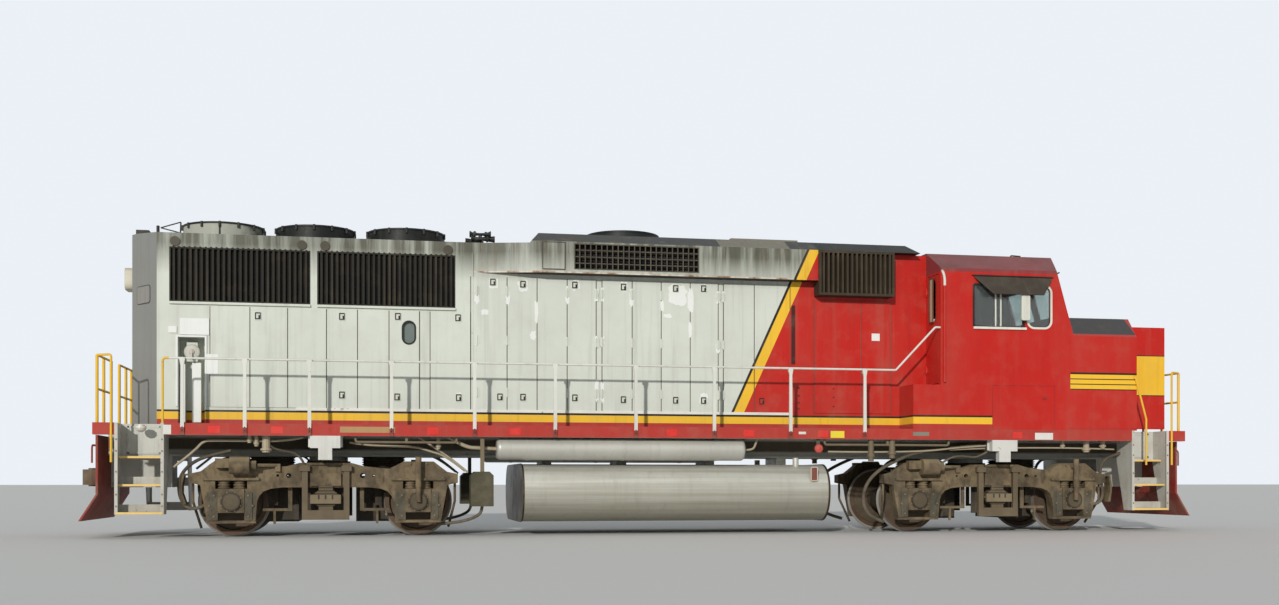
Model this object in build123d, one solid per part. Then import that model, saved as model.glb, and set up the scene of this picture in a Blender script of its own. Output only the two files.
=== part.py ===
from build123d import *
import math
import os

os.makedirs("parts", exist_ok=True)

# Diesel road locomotive on two four-wheel trucks, in millimetres.
# +X is the front (cab and nose), -Y is its right-hand side, +Z is up.
# Heights below are over the rail top. Every piece is raised by FLANGE_DEPTH when it is written,
# so that the model stands with its wheel flanges at Z = 0.

# Overall sizes
PLATFORM_LENGTH = 17360.0
PLATFORM_WIDTH = 3048.0
PLATFORM_END = PLATFORM_LENGTH / 2
PLATFORM_SIDE = PLATFORM_WIDTH / 2
DECK_TOP = 1660.0
DECK_PLATE = 20.0
DECK_UNDER = DECK_TOP - DECK_PLATE
SILL_BOTTOM = DECK_TOP - 173
TRUCK_CENTRES = 10840.0

# Wheels and axles
WHEEL_DIAMETER = 1016.0
WHEEL_RADIUS = WHEEL_DIAMETER / 2
FLANGE_DEPTH = 28.0
FLANGE_WIDTH = 32.0
TYRE_WIDTH = 140.0
BACK_TO_BACK = 1360.0
WHEELBASE = 2743.0
AXLE_X = WHEELBASE / 2
AXLE_RADIUS = 95.0
JOURNAL_RADIUS = 80.0
AXLE_END = 1190.0
BEARING_GAP = 0.6
SEAT_GAP = 0.3
RUNNING_CLEARANCE = 8.0

# Underframe
SILL_FLANGE = 130.0
SILL_WEB = 16.0
CENTRE_SILL_BOTTOM = SILL_BOTTOM - 287
CENTRE_SILL_HALF = 330.0
CENTRE_SILL_WEB = 28.0
CENTRE_SILL_FLANGE = 150.0
CROSS_MEMBER_PITCH = 1300.0
CROSS_MEMBER_WIDTH = 90.0
BOLSTER_HALF = 250.0
BOLSTER_BOTTOM = CENTRE_SILL_BOTTOM + 120
PAD_DEPTH = 124.0
PAD_TOP_HALF = 220.0
PAD_STEM_HALF = 100.0
PAD_STEM_TOP = SILL_BOTTOM - 182
PAD_BOTTOM = SILL_BOTTOM - 357
CENTRE_PLATE_RADIUS = 300.0
CENTRE_PLATE_FACE = SILL_BOTTOM - 357
CENTRE_PLATE_GAP = 0.5

# Couplers and their pockets
COUPLER_REACH = 425.0
COUPLER_HEIGHT = 876.0
COUPLER_PIVOT = PLATFORM_END - 730
COUPLER_PIN_RADIUS = 60.0
SHANK_HALF_WIDTH = 75.0
SHANK_HALF_HEIGHT = 80.0
KNUCKLE_HALF = 140.0
HEAD_BACK = PLATFORM_END + 50
POCKET_HALF_WIDTH = 235.0
POCKET_HALF_HEIGHT = 115.0
POCKET_WALL = 40.0
POCKET_INNER_END = COUPLER_PIVOT - 190

# Pilots, the end plates below the platform
PILOT_HALF = 1290.0
PILOT_PLATE = 30.0
PILOT_BOTTOM = 230.0
PILOT_SLOPE_TOP = 620.0
PILOT_REACH = 240.0
CUT_LEVER_RADIUS = 14.0
CUT_LEVER_HEIGHT = 1340.0
CUT_LEVER_OUT = 60.0
CUT_LEVER_DROP = 260.0

# Steps at the four corners
STEP_FRONT_EDGE = PLATFORM_END - 300
STEP_REAR_EDGE = STEP_FRONT_EDGE - 680
STEP_WELL_INNER = 1050.0
STEP_SIDE_PLATE = 14.0
STEP_POST_WIDTH = 45.0
STEP_BOTTOM = 330.0
TREAD_THICKNESS = 24.0
TREAD_DEPTH = 250.0
TREAD_SETBACK = 110.0
TREAD_TOPS = (363.0, 768.0, 1178.0)

# Rails and posts
RAIL_HEIGHT = DECK_TOP + 945
RAIL_OUT = 1500.0
RAIL_RADIUS = 17.0
RAIL_BEND = 45.0
POST_HALF = 27.0
POST_FOOT = DECK_TOP - 130
POST_NECK = 120.0
POST_HEAD_HALF = 38.0
POST_HEAD = 30.0
STANCHION_X = (-7443.0, -6567.0, -5646.0, -4452.0, -3215.0, -1988.0, -731.0, 519.0, 1764.0, 3000.0)
RAIL_REAR_END = -7720.0
RAIL_RISE_START = 3540.0
RAIL_RISE_END = 4215.0
RAIL_CAB_HEIGHT = RAIL_HEIGHT + 705
END_RAIL_X = PLATFORM_END - 40
END_RAIL_HEIGHT = DECK_TOP + 980
END_POST_RADIUS = 22.0
END_POSTS = (PILOT_HALF + 100, 900.0, CENTRE_SILL_HALF)
GRAB_OFFSET = 40.0
GRAB_FOOT = SILL_BOTTOM - 400
NOSE_GRAB_OFFSET = 160.0
NOSE_GRAB_KNEE = DECK_TOP + 190
NOSE_GRAB_TOP = RAIL_HEIGHT - 25
NOSE_GRAB_LUG = 60.0

# Tank, reservoirs and the gear under the side sills
TANK_HALF_LENGTH = 2470.0
TANK_BOTTOM = 185.0
TANK_TOP = CENTRE_SILL_BOTTOM - 120
TANK_HALF_WIDTH = 1400.0
TANK_LOWER_RADIUS = 430.0
TANK_UPPER_RADIUS = 390.0
TANK_END_PLATE = 16.0
TANK_END_RIM = 12.0
TANK_HANGER_HALF = 80.0
FILLER_X = TANK_HALF_LENGTH * 0.8
FILLER_OUT = 1120.0
FILLER_RADIUS = 48.0
FILLER_HEIGHT = 110.0
RESERVOIR_REAR = -2870.0
RESERVOIR_FRONT = 1060.0
RESERVOIR_RADIUS = 172.0
RESERVOIR_OUT = 1290.0
RESERVOIR_HEIGHT = SILL_BOTTOM - 177
RESERVOIR_STRAP = 25.0
RESERVOIR_STRAP_THICK = 4.0
PIPE_OUT = 1425.0
PIPE_RADIUS = 20.0
PIPE_HEIGHT = SILL_BOTTOM - 87
# Pipes: rear end, front end
SILL_PIPES = ((-4980.0, -3480.0), (2363.0, 4480.0))
# Valve bodies: place along X, radius, height
VALVES = ((3145.0, 45.0, 350.0), (3504.0, 50.0, 300.0))
SAND_BOX = (-3265.0, -2920.0, 430.0, 960.0)
SAND_BOX_OUT = 1440.0
SAND_BOX_IN = 1060.0
SAND_BOX_STRAP = 30.0

# Hood
HOOD_HALF_WIDTH = 930.0
HOOD_WALL = 50.0
HOOD_EAVES = DECK_TOP + 2870
HOOD_CROWN = HOOD_EAVES + 50
HOOD_CROWN_HALF = 420.0
HOOD_REAR = -7880.0
HOOD_TAIL = -8340.0
HOOD_TAIL_HALF = 300.0
REAR_JOINT = -3235.0
MIDDLE_JOINT = 2350.0

# Hand-brake niche, on the right-hand side only: rear edge, front edge, head
NICHE = (-7585.0, -7200.0, HOOD_EAVES - 1560)
NICHE_DEPTH = 300.0
HAND_BRAKE = (-7479.0, -7320.0, HOOD_EAVES - 1913, HOOD_EAVES - 1626)
HAND_BRAKE_DEPTH = 170.0

# Radiator section
RADIATOR_BOTTOM = HOOD_EAVES - 1030
RADIATOR_TOP = HOOD_EAVES - 210
# Radiator openings: rear edge, front edge
RADIATORS = ((-7710.0, -5660.0), (-5560.0, -3470.0))
RADIATOR_LIP = 35.0
GRILLE_FRAME = 24.0
SLAT_PITCH = 78.0
SLAT_WIDTH = 34.0
SLAT_DEPTH = 40.0
CORE_DEPTH = 90.0
CORE_LAP = 35.0
LIFTING_PADS = (-7627.0, -5784.0, -5443.0, -3584.0)
LIFTING_PAD_HEIGHT = RADIATOR_TOP + 82
LIFTING_PAD_RADIUS = 72.0
LIFTING_PAD_PROUD = 20.0

# Roof fans
FAN_CENTRES = (-7020.0, -5620.0, -4210.0)
FAN_COWL_RADIUS = 610.0
FAN_BORE = 575.0
FAN_GUARD_RADIUS = 622.0
FAN_RISE = 200.0
FAN_GUARD_BAR = 26.0
FAN_GUARD_RING = 0.62
FAN_HUB_RADIUS = 150.0
FAN_HUB_HEIGHT = 90.0
FAN_BLADE_CHORD = 210.0
FAN_BLADE_ANGLE = 32.0
FAN_BLADE_THICK = 12.0
FAN_BLADE_LIFT = 74.0
FAN_BLADES = 8
FAN_LINER = 12.0
FAN_MOTOR_RADIUS = 190.0
FAN_MOTOR_DEPTH = 330.0
FAN_ARM = 50.0

# Dynamic-brake housing on the middle hood
HOUSING_HALF_WIDTH = 1150.0
HOUSING_BOTTOM = HOOD_EAVES - 465
HOUSING_EAVES = HOOD_EAVES + 30
HOUSING_ROOF = HOOD_EAVES + 210
HOUSING_ROOF_HALF = 800.0
HOUSING_FLARE_REAR = -3080.0
HOUSING_FLARE_FRONT = -2160.0
HOUSING_STEP = 170.0
HOUSING_LIP = 22.0
HOUSING_LIP_PROUD = 16.0
BRAKE_GRILLE = (-1640.0, 370.0, HOUSING_BOTTOM + 60, HOUSING_EAVES - 25)
BRAKE_GRILLE_BAR = 16.0
BRAKE_GRILLE_COLUMNS = 23
BRAKE_GRILLE_ROWS = 4
ACCESS_PANEL = (-2130.0, -1790.0, HOUSING_BOTTOM + 60, HOUSING_EAVES - 25)
ACCESS_PANEL_PROUD = 10.0
BRAKE_FAN_X = -670.0
BRAKE_FAN_SEAT = HOUSING_ROOF - 80
BRAKE_FAN_TOP = HOUSING_ROOF + 130

# Front hood, filters and clean-air roof
FILTER_REAR = MIDDLE_JOINT
FILTER_FRONT = 3640.0
FILTER_BOTTOM = HOOD_EAVES - 700
FILTER_TOP = HOUSING_EAVES - 5
FILTER_HALF_WIDTH = 1200.0
FILTER_FRAME = 40.0
FILTER_BACK = 60.0
AIR_ROOF_FRONT = 3980.0
AIR_ROOF_SLOPE = 130.0
HATCH = (1030.0, 2170.0)
HATCH_HALF = 620.0
HATCH_RISE = 60.0

# Horn on the middle hood's roof
HORN_X = -3030.0
HORN_SEAT = (60.0, 260.0, 90.0)
HORN_STALK = 30.0
HORN_THROAT = 24.0
HORN_FLARE = 7.0
# Trumpets: offset across the roof, direction along X, length, height over the seat
TRUMPETS = ((-200.0, 1, 230.0, 190.0), (-60.0, -1, 230.0, 170.0), (80.0, 1, 200.0, 120.0),
            (200.0, -1, 200.0, 200.0))

# Heavy machinery inside the hood
ENGINE_REAR = -2500.0
ENGINE_FRONT = 2100.0
ENGINE_HALF_WIDTH = 620.0
ENGINE_TOP = HOOD_EAVES - 780

# Service doors along the hood: rear edge, front edge
DOOR_BOTTOM = DECK_TOP + 270
DOOR_PROUD = 14.0
DOOR_GAP = 14.0
REAR_DOORS = ((-7126.0, -6547.0), (-6547.0, -5995.0), (-5995.0, -5421.0), (-5421.0, -4958.0),
              (-4958.0, -4484.0), (-4484.0, -4022.0), (-3860.0, -3235.0))
REAR_DOOR_TOP = RADIATOR_BOTTOM - 60
MIDDLE_DOORS = ((-3235.0, -2669.0), (-2669.0, -2198.0), (-2198.0, -1722.0), (-1722.0, -1259.0),
                (-1165.0, -679.0), (-679.0, -206.0), (-206.0, 270.0), (270.0, 733.0),
                (820.0, 1335.0), (1335.0, 1940.0))
MIDDLE_DOOR_TOP = HOUSING_BOTTOM - 65
FRONT_DOORS = ((2350.0, 3154.0), (3154.0, 3666.0))
FRONT_DOOR_TOP = FILTER_BOTTOM - 60
# Oval window in the radiator section: rear edge, front edge, foot, head
OVAL_WINDOW = (-4270.0, -4095.0, HOOD_EAVES - 1590, HOOD_EAVES - 1260)
OVAL_RADIUS = 86.0

# Cab
CAB_HALF_WIDTH = 1520.0
CAB_REAR = 4300.0
CAB_BASE_REAR = 3830.0
CAB_FLOOR = DECK_TOP + 720
CAB_ROOF = DECK_TOP + 2940
CAB_GUTTER = CAB_ROOF - 320
CAB_ROOF_HALF = 930.0
CAB_WALL = 60.0
CAB_FACET_HALF = 930.0
SCREEN_SIDE_TOP = 6340.0
SCREEN_SIDE_BOTTOM = 6640.0
SCREEN_FOOT = CAB_GUTTER - 1040
SCREEN_SWEEP = 300.0
GLASS_THICK = 10.0
# Side windows: rear edge, front edge, sill, head, corner radius
SIDE_WINDOWS = (
    (4880.0, 5750.0, CAB_GUTTER - 940, CAB_GUTTER - 260, 25.0),
    (5830.0, 6230.0, CAB_GUTTER - 940, CAB_GUTTER - 260, 110.0),
)
SCREEN = (70.0, 860.0, CAB_GUTTER - 640, CAB_GUTTER - 100)
AWNING_TOP = CAB_GUTTER - 130
AWNING_DROP = 300.0
AWNING_OUT = 150.0
AWNING_THICK = 12.0
AWNING_FLANGE = 30.0
AWNING_CORNERS = (270.0, 200.0)
CAB_DOOR = (985.0, 1440.0, CAB_FLOOR + 20, CAB_GUTTER - 90)
CAB_DOOR_WINDOW = (120.0, CAB_GUTTER - 850, CAB_GUTTER - 150)
CAB_DOOR_THICK = 40.0
CAB_DOOR_GAP = 10.0
SEAT_X = CAB_REAR + 850
SEAT_OUT = 980.0
SEAT_HALF = 240.0
SEAT_HEIGHT = 380.0
SEAT_CUSHION = 100.0
SEAT_BACK = 600.0
SEAT_PEDESTAL = 60.0
DESK = (CAB_REAR + 1300, CAB_REAR + 1850)
DESK_SPAN = (-1300.0, -560.0)
DESK_HEIGHT = 880.0

# Nose
NOSE_SIDE_TOP = CAB_GUTTER - 1060
NOSE_ROOF = NOSE_SIDE_TOP + 350
NOSE_ROOF_HALF = 1100.0
NOSE_FRONT = 7880.0
NOSE_FRONT_SIDE = NOSE_FRONT - 90
NOSE_WALL = 60.0
DOORWAY = (-1090.0, -537.0, DECK_TOP + 70, NOSE_ROOF - 170)
NOSE_DOOR_LAP = 30.0
NOSE_DOOR_THICK = 45.0
DOOR_CLEARANCE = 6.0

# Door hinges: pin, the knuckle round it, and the knuckle's height
HINGE_PIN = 9.0
HINGE_KNUCKLE = 16.0
HINGE_HEIGHT = 90.0
HINGE_LUG = 18.0
HINGE_PIN_GAP = 0.6
HINGE_ROOT = 4.0

# Lamp housings: half width, foot, head, depth
REAR_LAMP = (210.0, HOOD_EAVES - 770, HOOD_EAVES - 430, 130.0)
REAR_LAMP_RADIUS = 90.0
FRONT_LAMP = (200.0, CAB_GUTTER + 50, CAB_GUTTER + 240, 40.0)

# Trucks, in each truck's own frame
SIDE_FRAME_INNER = 1010.0
SIDE_FRAME_OUTER = 1215.0
PEDESTAL_HALF = 190.0
PEDESTAL_TOP = 700.0
PEDESTAL_BOTTOM = 225.0
SPRING_POCKET_HALF = 230.0
SPRING_POCKET_TOP = 818.0
# Outline from the centre outwards along the top: distance from the centre, height
FRAME_TOP_MIDDLE = ((0.0, 1090.0), (380.0, 1090.0), (560.0, 1040.0))
# Outline round one axle: distance from the axle, height
FRAME_TOP_AXLE = ((-440.0, 1000.0), (-215.0, 1115.0), (235.0, 1115.0), (435.0, 960.0), (600.0, 925.0))
FRAME_LEG_OUTER = ((600.0, 790.0), (440.0, 755.0), (405.0, 540.0), (345.0, 225.0))
FRAME_LEG_INNER = ((-345.0, 225.0), (-372.0, 516.0), (-400.0, 590.0), (-460.0, 660.0), (-560.0, 700.0))
FRAME_ARCH_END = 640.0
FRAME_UNDER = 721.0
# Lightening holes: distance from the centre, radius
FRAME_HOLES = ((702.0, 20.0), (540.0, 38.0))
FRAME_HOLE_HEIGHT = 898.0
FRAME_LEDGE = (826.0, 862.0)
FRAME_LEDGE_HALF = 405.0
FRAME_LEDGE_PROUD = 45.0
# Jaw plates beside the bearing boxes: width, foot, head
JAW_PLATE = (112.0, 240.0, 640.0)
JAW_PLATE_PROUD = 16.0
TIE_BAR_BOTTOM = 185.0
TIE_BAR_LAP = 160.0
TIE_BAR_INSET = 20.0
BOX_HALF_HEIGHT = 165.0
BOX_OUTER = 1245.0
BEARING_RING_RADIUS = 160.0
BEARING_RING_DEPTH = 12.0
BEARING_CAP_RADIUS = 136.0
BEARING_CAP_DEPTH = 45.0
COIL_OFFSET = 112.0
COIL_RADIUS = 88.0
TRANSOM_HALF = 150.0
TRANSOM_OFFSET = 330.0
TRANSOM_HEIGHTS = (740.0, 940.0)
BOLSTER_HEIGHTS = (745.0, 1000.0)
BOLSTER_END_HALF = 225.0
BOLSTER_END_STEP = 932.0
BOLSTER_END_OUT = 1262.0
BOLSTER_END_PROUD = 35.0
BOWL_BOTTOM = 990.0
BOWL_WALL = 40.0
MOTOR_HALF_WIDTH = 520.0
MOTOR_BOTTOM = 190.0
MOTOR_TOP = 900.0
MOTOR_GAP = 30.0
MOTOR_BOSS = 95.0
MOTOR_NOSE = (200.0, 760.0, 880.0)

# Brake and spring gear on the trucks' sides
CYLINDER = (-1379.0, -1092.0)
CYLINDER_RADIUS = 130.0
CYLINDER_HEIGHT = 1048.0
CYLINDER_FOOT = (-1588.0, -1379.0, 1011.0, 1150.0)
PISTON_END = -1000.0
PISTON_RADIUS = 70.0
PUSH_ROD_END = -700.0
PUSH_ROD_RADIUS = 26.0
PUSH_ROD_LUG = 90.0
DAMPER_RADIUS = 38.0
DAMPER_TOP = 1182.0
DAMPER_FOOT = 500.0
HANGER_OFFSET = 305.0
HANGER_HALF = 42.0
HANGER_TOP = 1060.0
HANGER_DEPTH = 70.0
HANGER_BLOCK = (75.0, 965.0, 1047.0)
PLANK_HEIGHTS = (235.0, 378.0)
LEAF_HALF = 235.0
LEAF_HEIGHTS = (443.0, 671.0)
LEAF_COUNT = 5
LEAF_SHORTENING = 26.0
LEAF_DEPTH = 110.0
STRAP_BAR = (801.0, 846.0, 802.0, 1010.0)
STRAP_BAR_THICK = 8.0
SHOE_GAP = 10.0
SHOE_THICK = 40.0
SHOE_HALF_ANGLE = 17.0
SHOE_IN = 700.0
SHOE_OUT = 800.0
SHOE_HANGER_HALF = 30.0
LEVER = (500.0, 560.0)
LEVER_BAR = (500.0, 930.0, 365.0, 405.0)
LEVER_PIN = (740.0, 775.0, 170.0)
SAND_PIPE_RADIUS = 20.0
SAND_PIPE_FOOT = 112.0
# Cover at the truck's outer end: reach from the centre, foot, head, thickness
END_GUARD = (2095.0, 470.0, 925.0, 28.0)


# Basic shapes between named faces
def block(x0, x1, y0, y1, z0, z1):
    size = (abs(x1 - x0), abs(y1 - y0), abs(z1 - z0))
    return Pos((x0 + x1) / 2, (y0 + y1) / 2, (z0 + z1) / 2) * Box(*size)


def prism_y(points, y0, y1):
    face = make_face(Plane.XZ * Polyline(*points, close=True))
    return Pos(0, y0, 0) * extrude(face, amount=y1 - y0, dir=(0, 1, 0))


def prism_x(points, x0, x1):
    face = make_face(Plane.YZ * Polyline(*points, close=True))
    return Pos(x0, 0, 0) * extrude(face, amount=x1 - x0, dir=(1, 0, 0))


def prism_z(points, z0, z1):
    face = make_face(Plane.XY * Polyline(*points, close=True))
    return Pos(0, 0, z0) * extrude(face, amount=z1 - z0, dir=(0, 0, 1))


def rounded_panel(x0, x1, z0, z1, radius, y0, y1):
    """Plate in a side wall, or the tool that cuts its opening, with rounded corners."""
    face = Plane.XZ * (Pos((x0 + x1) / 2, (z0 + z1) / 2) * RectangleRounded(x1 - x0, z1 - z0, radius))
    return Pos(0, y0, 0) * extrude(face, amount=y1 - y0, dir=(0, 1, 0))


def rod(start, end, radius):
    a = Vector(*start)
    b = Vector(*end)
    plane = Plane(origin=a, z_dir=(b - a).normalized())
    return plane * extrude(Circle(radius), amount=(b - a).length)


def tube(points, radius, bend):
    """Round bar along the given points, with its corners bent."""
    path = FilletPolyline(*points, radius=bend)
    return sweep(Plane(origin=path @ 0, z_dir=path % 0) * Circle(radius), path=path)


def along_y(x, z, y0, y1, radius):
    return rod((x, min(y0, y1), z), (x, max(y0, y1), z), radius)


def upright(x, y, z0, z1, radius):
    return rod((x, y, z0), (x, y, z1), radius)


def both_sides(shape):
    return [shape, mirror(shape, about=Plane.XZ)]


def fuse(shapes):
    body = shapes[0]
    rest = shapes[1:]
    return body.fuse(*rest) if rest else body


def solids_of(shapes):
    found = []
    for shape in shapes:
        found.extend(shape.solids())
    return found


def save(node, shapes):
    raised = [Pos(0, 0, FLANGE_DEPTH) * solid for solid in solids_of(shapes)]
    part = raised[0] if len(raised) == 1 else Compound(children=raised)
    export_step(part, os.path.join("parts", node + ".step"))


def mirrored_points(points):
    """Points down one side of a section, closed by their mirror image on the other side."""
    return list(points) + [(-across, up) for across, up in reversed(points)]


# Underframe
def underframe():
    side = PLATFORM_SIDE
    pieces = [block(-PLATFORM_END, PLATFORM_END, -side, side, DECK_UNDER, DECK_TOP)]
    channel = [
        (side, SILL_BOTTOM), (side, DECK_UNDER), (side - SILL_WEB, DECK_UNDER),
        (side - SILL_WEB, SILL_BOTTOM + SILL_WEB), (side - SILL_FLANGE, SILL_BOTTOM + SILL_WEB),
        (side - SILL_FLANGE, SILL_BOTTOM),
    ]
    pieces += both_sides(prism_x(channel, -PLATFORM_END, PLATFORM_END))
    inner = CENTRE_SILL_HALF - CENTRE_SILL_WEB
    flange = CENTRE_SILL_BOTTOM + CENTRE_SILL_WEB
    beam = [
        (inner, DECK_UNDER), (CENTRE_SILL_HALF, DECK_UNDER), (CENTRE_SILL_HALF, flange),
        (inner + CENTRE_SILL_FLANGE, flange), (inner + CENTRE_SILL_FLANGE, CENTRE_SILL_BOTTOM),
        (inner, CENTRE_SILL_BOTTOM),
    ]
    pieces += both_sides(prism_x(beam, -PLATFORM_END, PLATFORM_END))
    count = int(PLATFORM_END / CROSS_MEMBER_PITCH)
    for step in range(-count, count + 1):
        x = step * CROSS_MEMBER_PITCH
        pieces.append(block(x - CROSS_MEMBER_WIDTH / 2, x + CROSS_MEMBER_WIDTH / 2,
                            -side + SILL_WEB, side - SILL_WEB, SILL_BOTTOM + SILL_WEB, DECK_UNDER))
    for end in (-1, 1):
        x = end * TRUCK_CENTRES / 2
        pad_inner = side - PAD_DEPTH
        pieces.append(block(x - BOLSTER_HALF, x + BOLSTER_HALF, -pad_inner, pad_inner,
                            BOLSTER_BOTTOM, DECK_UNDER))
        pieces.append(upright(x, 0, CENTRE_PLATE_FACE, BOLSTER_BOTTOM, CENTRE_PLATE_RADIUS))
        top = block(x - PAD_TOP_HALF, x + PAD_TOP_HALF, pad_inner, side, PAD_STEM_TOP, SILL_BOTTOM)
        stem = block(x - PAD_STEM_HALF, x + PAD_STEM_HALF, pad_inner, side, PAD_BOTTOM, PAD_STEM_TOP)
        pieces += both_sides(top) + both_sides(stem)
        pieces.append(draft_pocket(end))
    wells = []
    for end in (-1, 1):
        well = block(end * STEP_REAR_EDGE, end * STEP_FRONT_EDGE, STEP_WELL_INNER, side + 1,
                     SILL_BOTTOM - 1, DECK_TOP + 1)
        wells += both_sides(well)
    return fuse(pieces).cut(*wells)


def draft_pocket(end):
    """Box round the coupler's shank, open to the outside, hung from the centre sill."""
    inner_x = end * POCKET_INNER_END
    outer_x = end * PLATFORM_END
    wide = POCKET_HALF_WIDTH + POCKET_WALL
    low = COUPLER_HEIGHT - POCKET_HALF_HEIGHT
    high = COUPLER_HEIGHT + POCKET_HALF_HEIGHT
    shell = block(inner_x, outer_x, -wide, wide, low - POCKET_WALL, CENTRE_SILL_BOTTOM)
    room = block(inner_x + end * POCKET_WALL, outer_x + end, -POCKET_HALF_WIDTH, POCKET_HALF_WIDTH, low, high)
    pin = upright(end * COUPLER_PIVOT, 0, low, high, COUPLER_PIN_RADIUS)
    hanger = block(inner_x, outer_x, -CENTRE_SILL_HALF, CENTRE_SILL_HALF,
                   CENTRE_SILL_BOTTOM, CENTRE_SILL_BOTTOM + CENTRE_SILL_WEB)
    return (shell - room) + pin + hanger


# Pilots
def pilot(end):
    """End plate with its turned-out foot and the coupler's cut lever across it."""
    face = end * PLATFORM_END
    back = face - end * PILOT_PLATE
    profile = [
        (back, SILL_BOTTOM), (face, SILL_BOTTOM), (face, PILOT_SLOPE_TOP),
        (face + end * PILOT_REACH, PILOT_BOTTOM), (back + end * PILOT_REACH, PILOT_BOTTOM),
        (back, PILOT_SLOPE_TOP),
    ]
    plate = prism_y(profile, -PILOT_HALF, PILOT_HALF)
    wide = POCKET_HALF_WIDTH + POCKET_WALL
    low = COUPLER_HEIGHT - POCKET_HALF_HEIGHT - POCKET_WALL
    room = block(back - end, face + end, -wide, wide, low, CENTRE_SILL_BOTTOM)
    beam = block(back - end, face + end, -CENTRE_SILL_HALF - CENTRE_SILL_FLANGE,
                 CENTRE_SILL_HALF + CENTRE_SILL_FLANGE, CENTRE_SILL_BOTTOM, SILL_BOTTOM + 1)
    x = face + end * CUT_LEVER_OUT
    reach = PILOT_HALF - CUT_LEVER_OUT
    lever = tube([(x, -reach, CUT_LEVER_HEIGHT - CUT_LEVER_DROP), (x, -reach, CUT_LEVER_HEIGHT),
                  (x, reach, CUT_LEVER_HEIGHT), (x, reach, CUT_LEVER_HEIGHT - CUT_LEVER_DROP)],
                 CUT_LEVER_RADIUS, CUT_LEVER_OUT)
    brackets = []
    for y in (-reach + 2 * CUT_LEVER_OUT, reach - 2 * CUT_LEVER_OUT):
        brackets.append(block(face - end, x, y - CUT_LEVER_RADIUS, y + CUT_LEVER_RADIUS,
                              CUT_LEVER_HEIGHT - CUT_LEVER_RADIUS, CUT_LEVER_HEIGHT + CUT_LEVER_RADIUS))
    return fuse([plate - room - beam, lever] + brackets)


# Couplers
def coupler(end):
    """Shank with its eye round the pocket's pin, and the closed knuckle head."""
    face = PLATFORM_END + COUPLER_REACH
    low = COUPLER_HEIGHT - SHANK_HALF_HEIGHT
    high = COUPLER_HEIGHT + SHANK_HALF_HEIGHT
    eye_radius = COUPLER_PIN_RADIUS + POCKET_WALL + SHANK_HALF_WIDTH / 2
    eye = upright(COUPLER_PIVOT, 0, low, high, eye_radius)
    shank = block(COUPLER_PIVOT, HEAD_BACK, -SHANK_HALF_WIDTH, SHANK_HALF_WIDTH, low, high)
    jaw_points = [
        (HEAD_BACK - 20, -110), (HEAD_BACK + 60, -190), (face - 150, -235), (face - 60, -215),
        (face - 40, -160), (face - 200, -75), (face - 210, 10), (face - 180, 110), (HEAD_BACK + 60, 170),
        (HEAD_BACK - 20, 110),
    ]
    jaw = prism_z(jaw_points, COUPLER_HEIGHT - KNUCKLE_HALF, COUPLER_HEIGHT + KNUCKLE_HALF)
    knuckle_points = [
        (face - 215, 20), (face - 130, 30), (face - 30, -10), (face, 60), (face - 40, 170),
        (face - 160, 215), (HEAD_BACK + 60, 168),
    ]
    lower = KNUCKLE_HALF * 0.85
    knuckle = prism_z(knuckle_points, COUPLER_HEIGHT - lower, COUPLER_HEIGHT + lower)
    pin = upright(face - 150, 150, COUPLER_HEIGHT - KNUCKLE_HALF, COUPLER_HEIGHT + KNUCKLE_HALF, 38)
    bore = upright(COUPLER_PIVOT, 0, low - 1, high + 1, COUPLER_PIN_RADIUS + BEARING_GAP)
    whole = (eye + shank + jaw + knuckle + pin) - bore
    return whole if end > 0 else Rot(0, 0, 180) * whole


# Steps
def steps(end):
    """One flight on the right-hand side: two side plates with their posts, three treads and toe boards."""
    side = PLATFORM_SIDE
    near = end * STEP_REAR_EDGE
    far = end * STEP_FRONT_EDGE
    lean = [
        (-side, STEP_BOTTOM), (-side, DECK_TOP), (-STEP_WELL_INNER, DECK_TOP),
        (-STEP_WELL_INNER, TREAD_TOPS[2] - TREAD_THICKNESS), (-side + TREAD_DEPTH, STEP_BOTTOM),
    ]
    pieces = []
    for edge, way in ((near, end), (far, -end)):
        inside = edge + way * STEP_SIDE_PLATE
        pieces.append(prism_x(lean, min(edge, inside), max(edge, inside)))
        pieces.append(block(edge, edge + way * STEP_POST_WIDTH, -side, -side + STEP_SIDE_PLATE,
                            STEP_BOTTOM, DECK_TOP))
    for number, top in enumerate(TREAD_TOPS):
        outer = side - number * TREAD_SETBACK
        back = -outer + TREAD_DEPTH
        pieces.append(block(near, far, -outer, back, top - TREAD_THICKNESS, top))
        pieces.append(block(near, far, back - STEP_SIDE_PLATE, back, top, top + TREAD_SETBACK))
    pieces.append(block(near, far, -STEP_WELL_INNER - STEP_SIDE_PLATE, -STEP_WELL_INNER,
                        SILL_BOTTOM - 2 * TREAD_SETBACK, DECK_TOP))
    return fuse(pieces)


# Handrails
def pressed_post(x, y_out, foot, head):
    """Flat post with a waist below its widened head."""
    half = POST_HALF
    waist = half * 0.8
    wide = POST_HEAD_HALF
    profile = [
        (x - half, foot), (x + half, foot), (x + waist, head - POST_NECK), (x + wide, head - POST_HEAD),
        (x + wide, head), (x - wide, head), (x - wide, head - POST_HEAD), (x - waist, head - POST_NECK),
    ]
    return prism_y(profile, y_out, y_out + POST_HALF)


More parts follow.
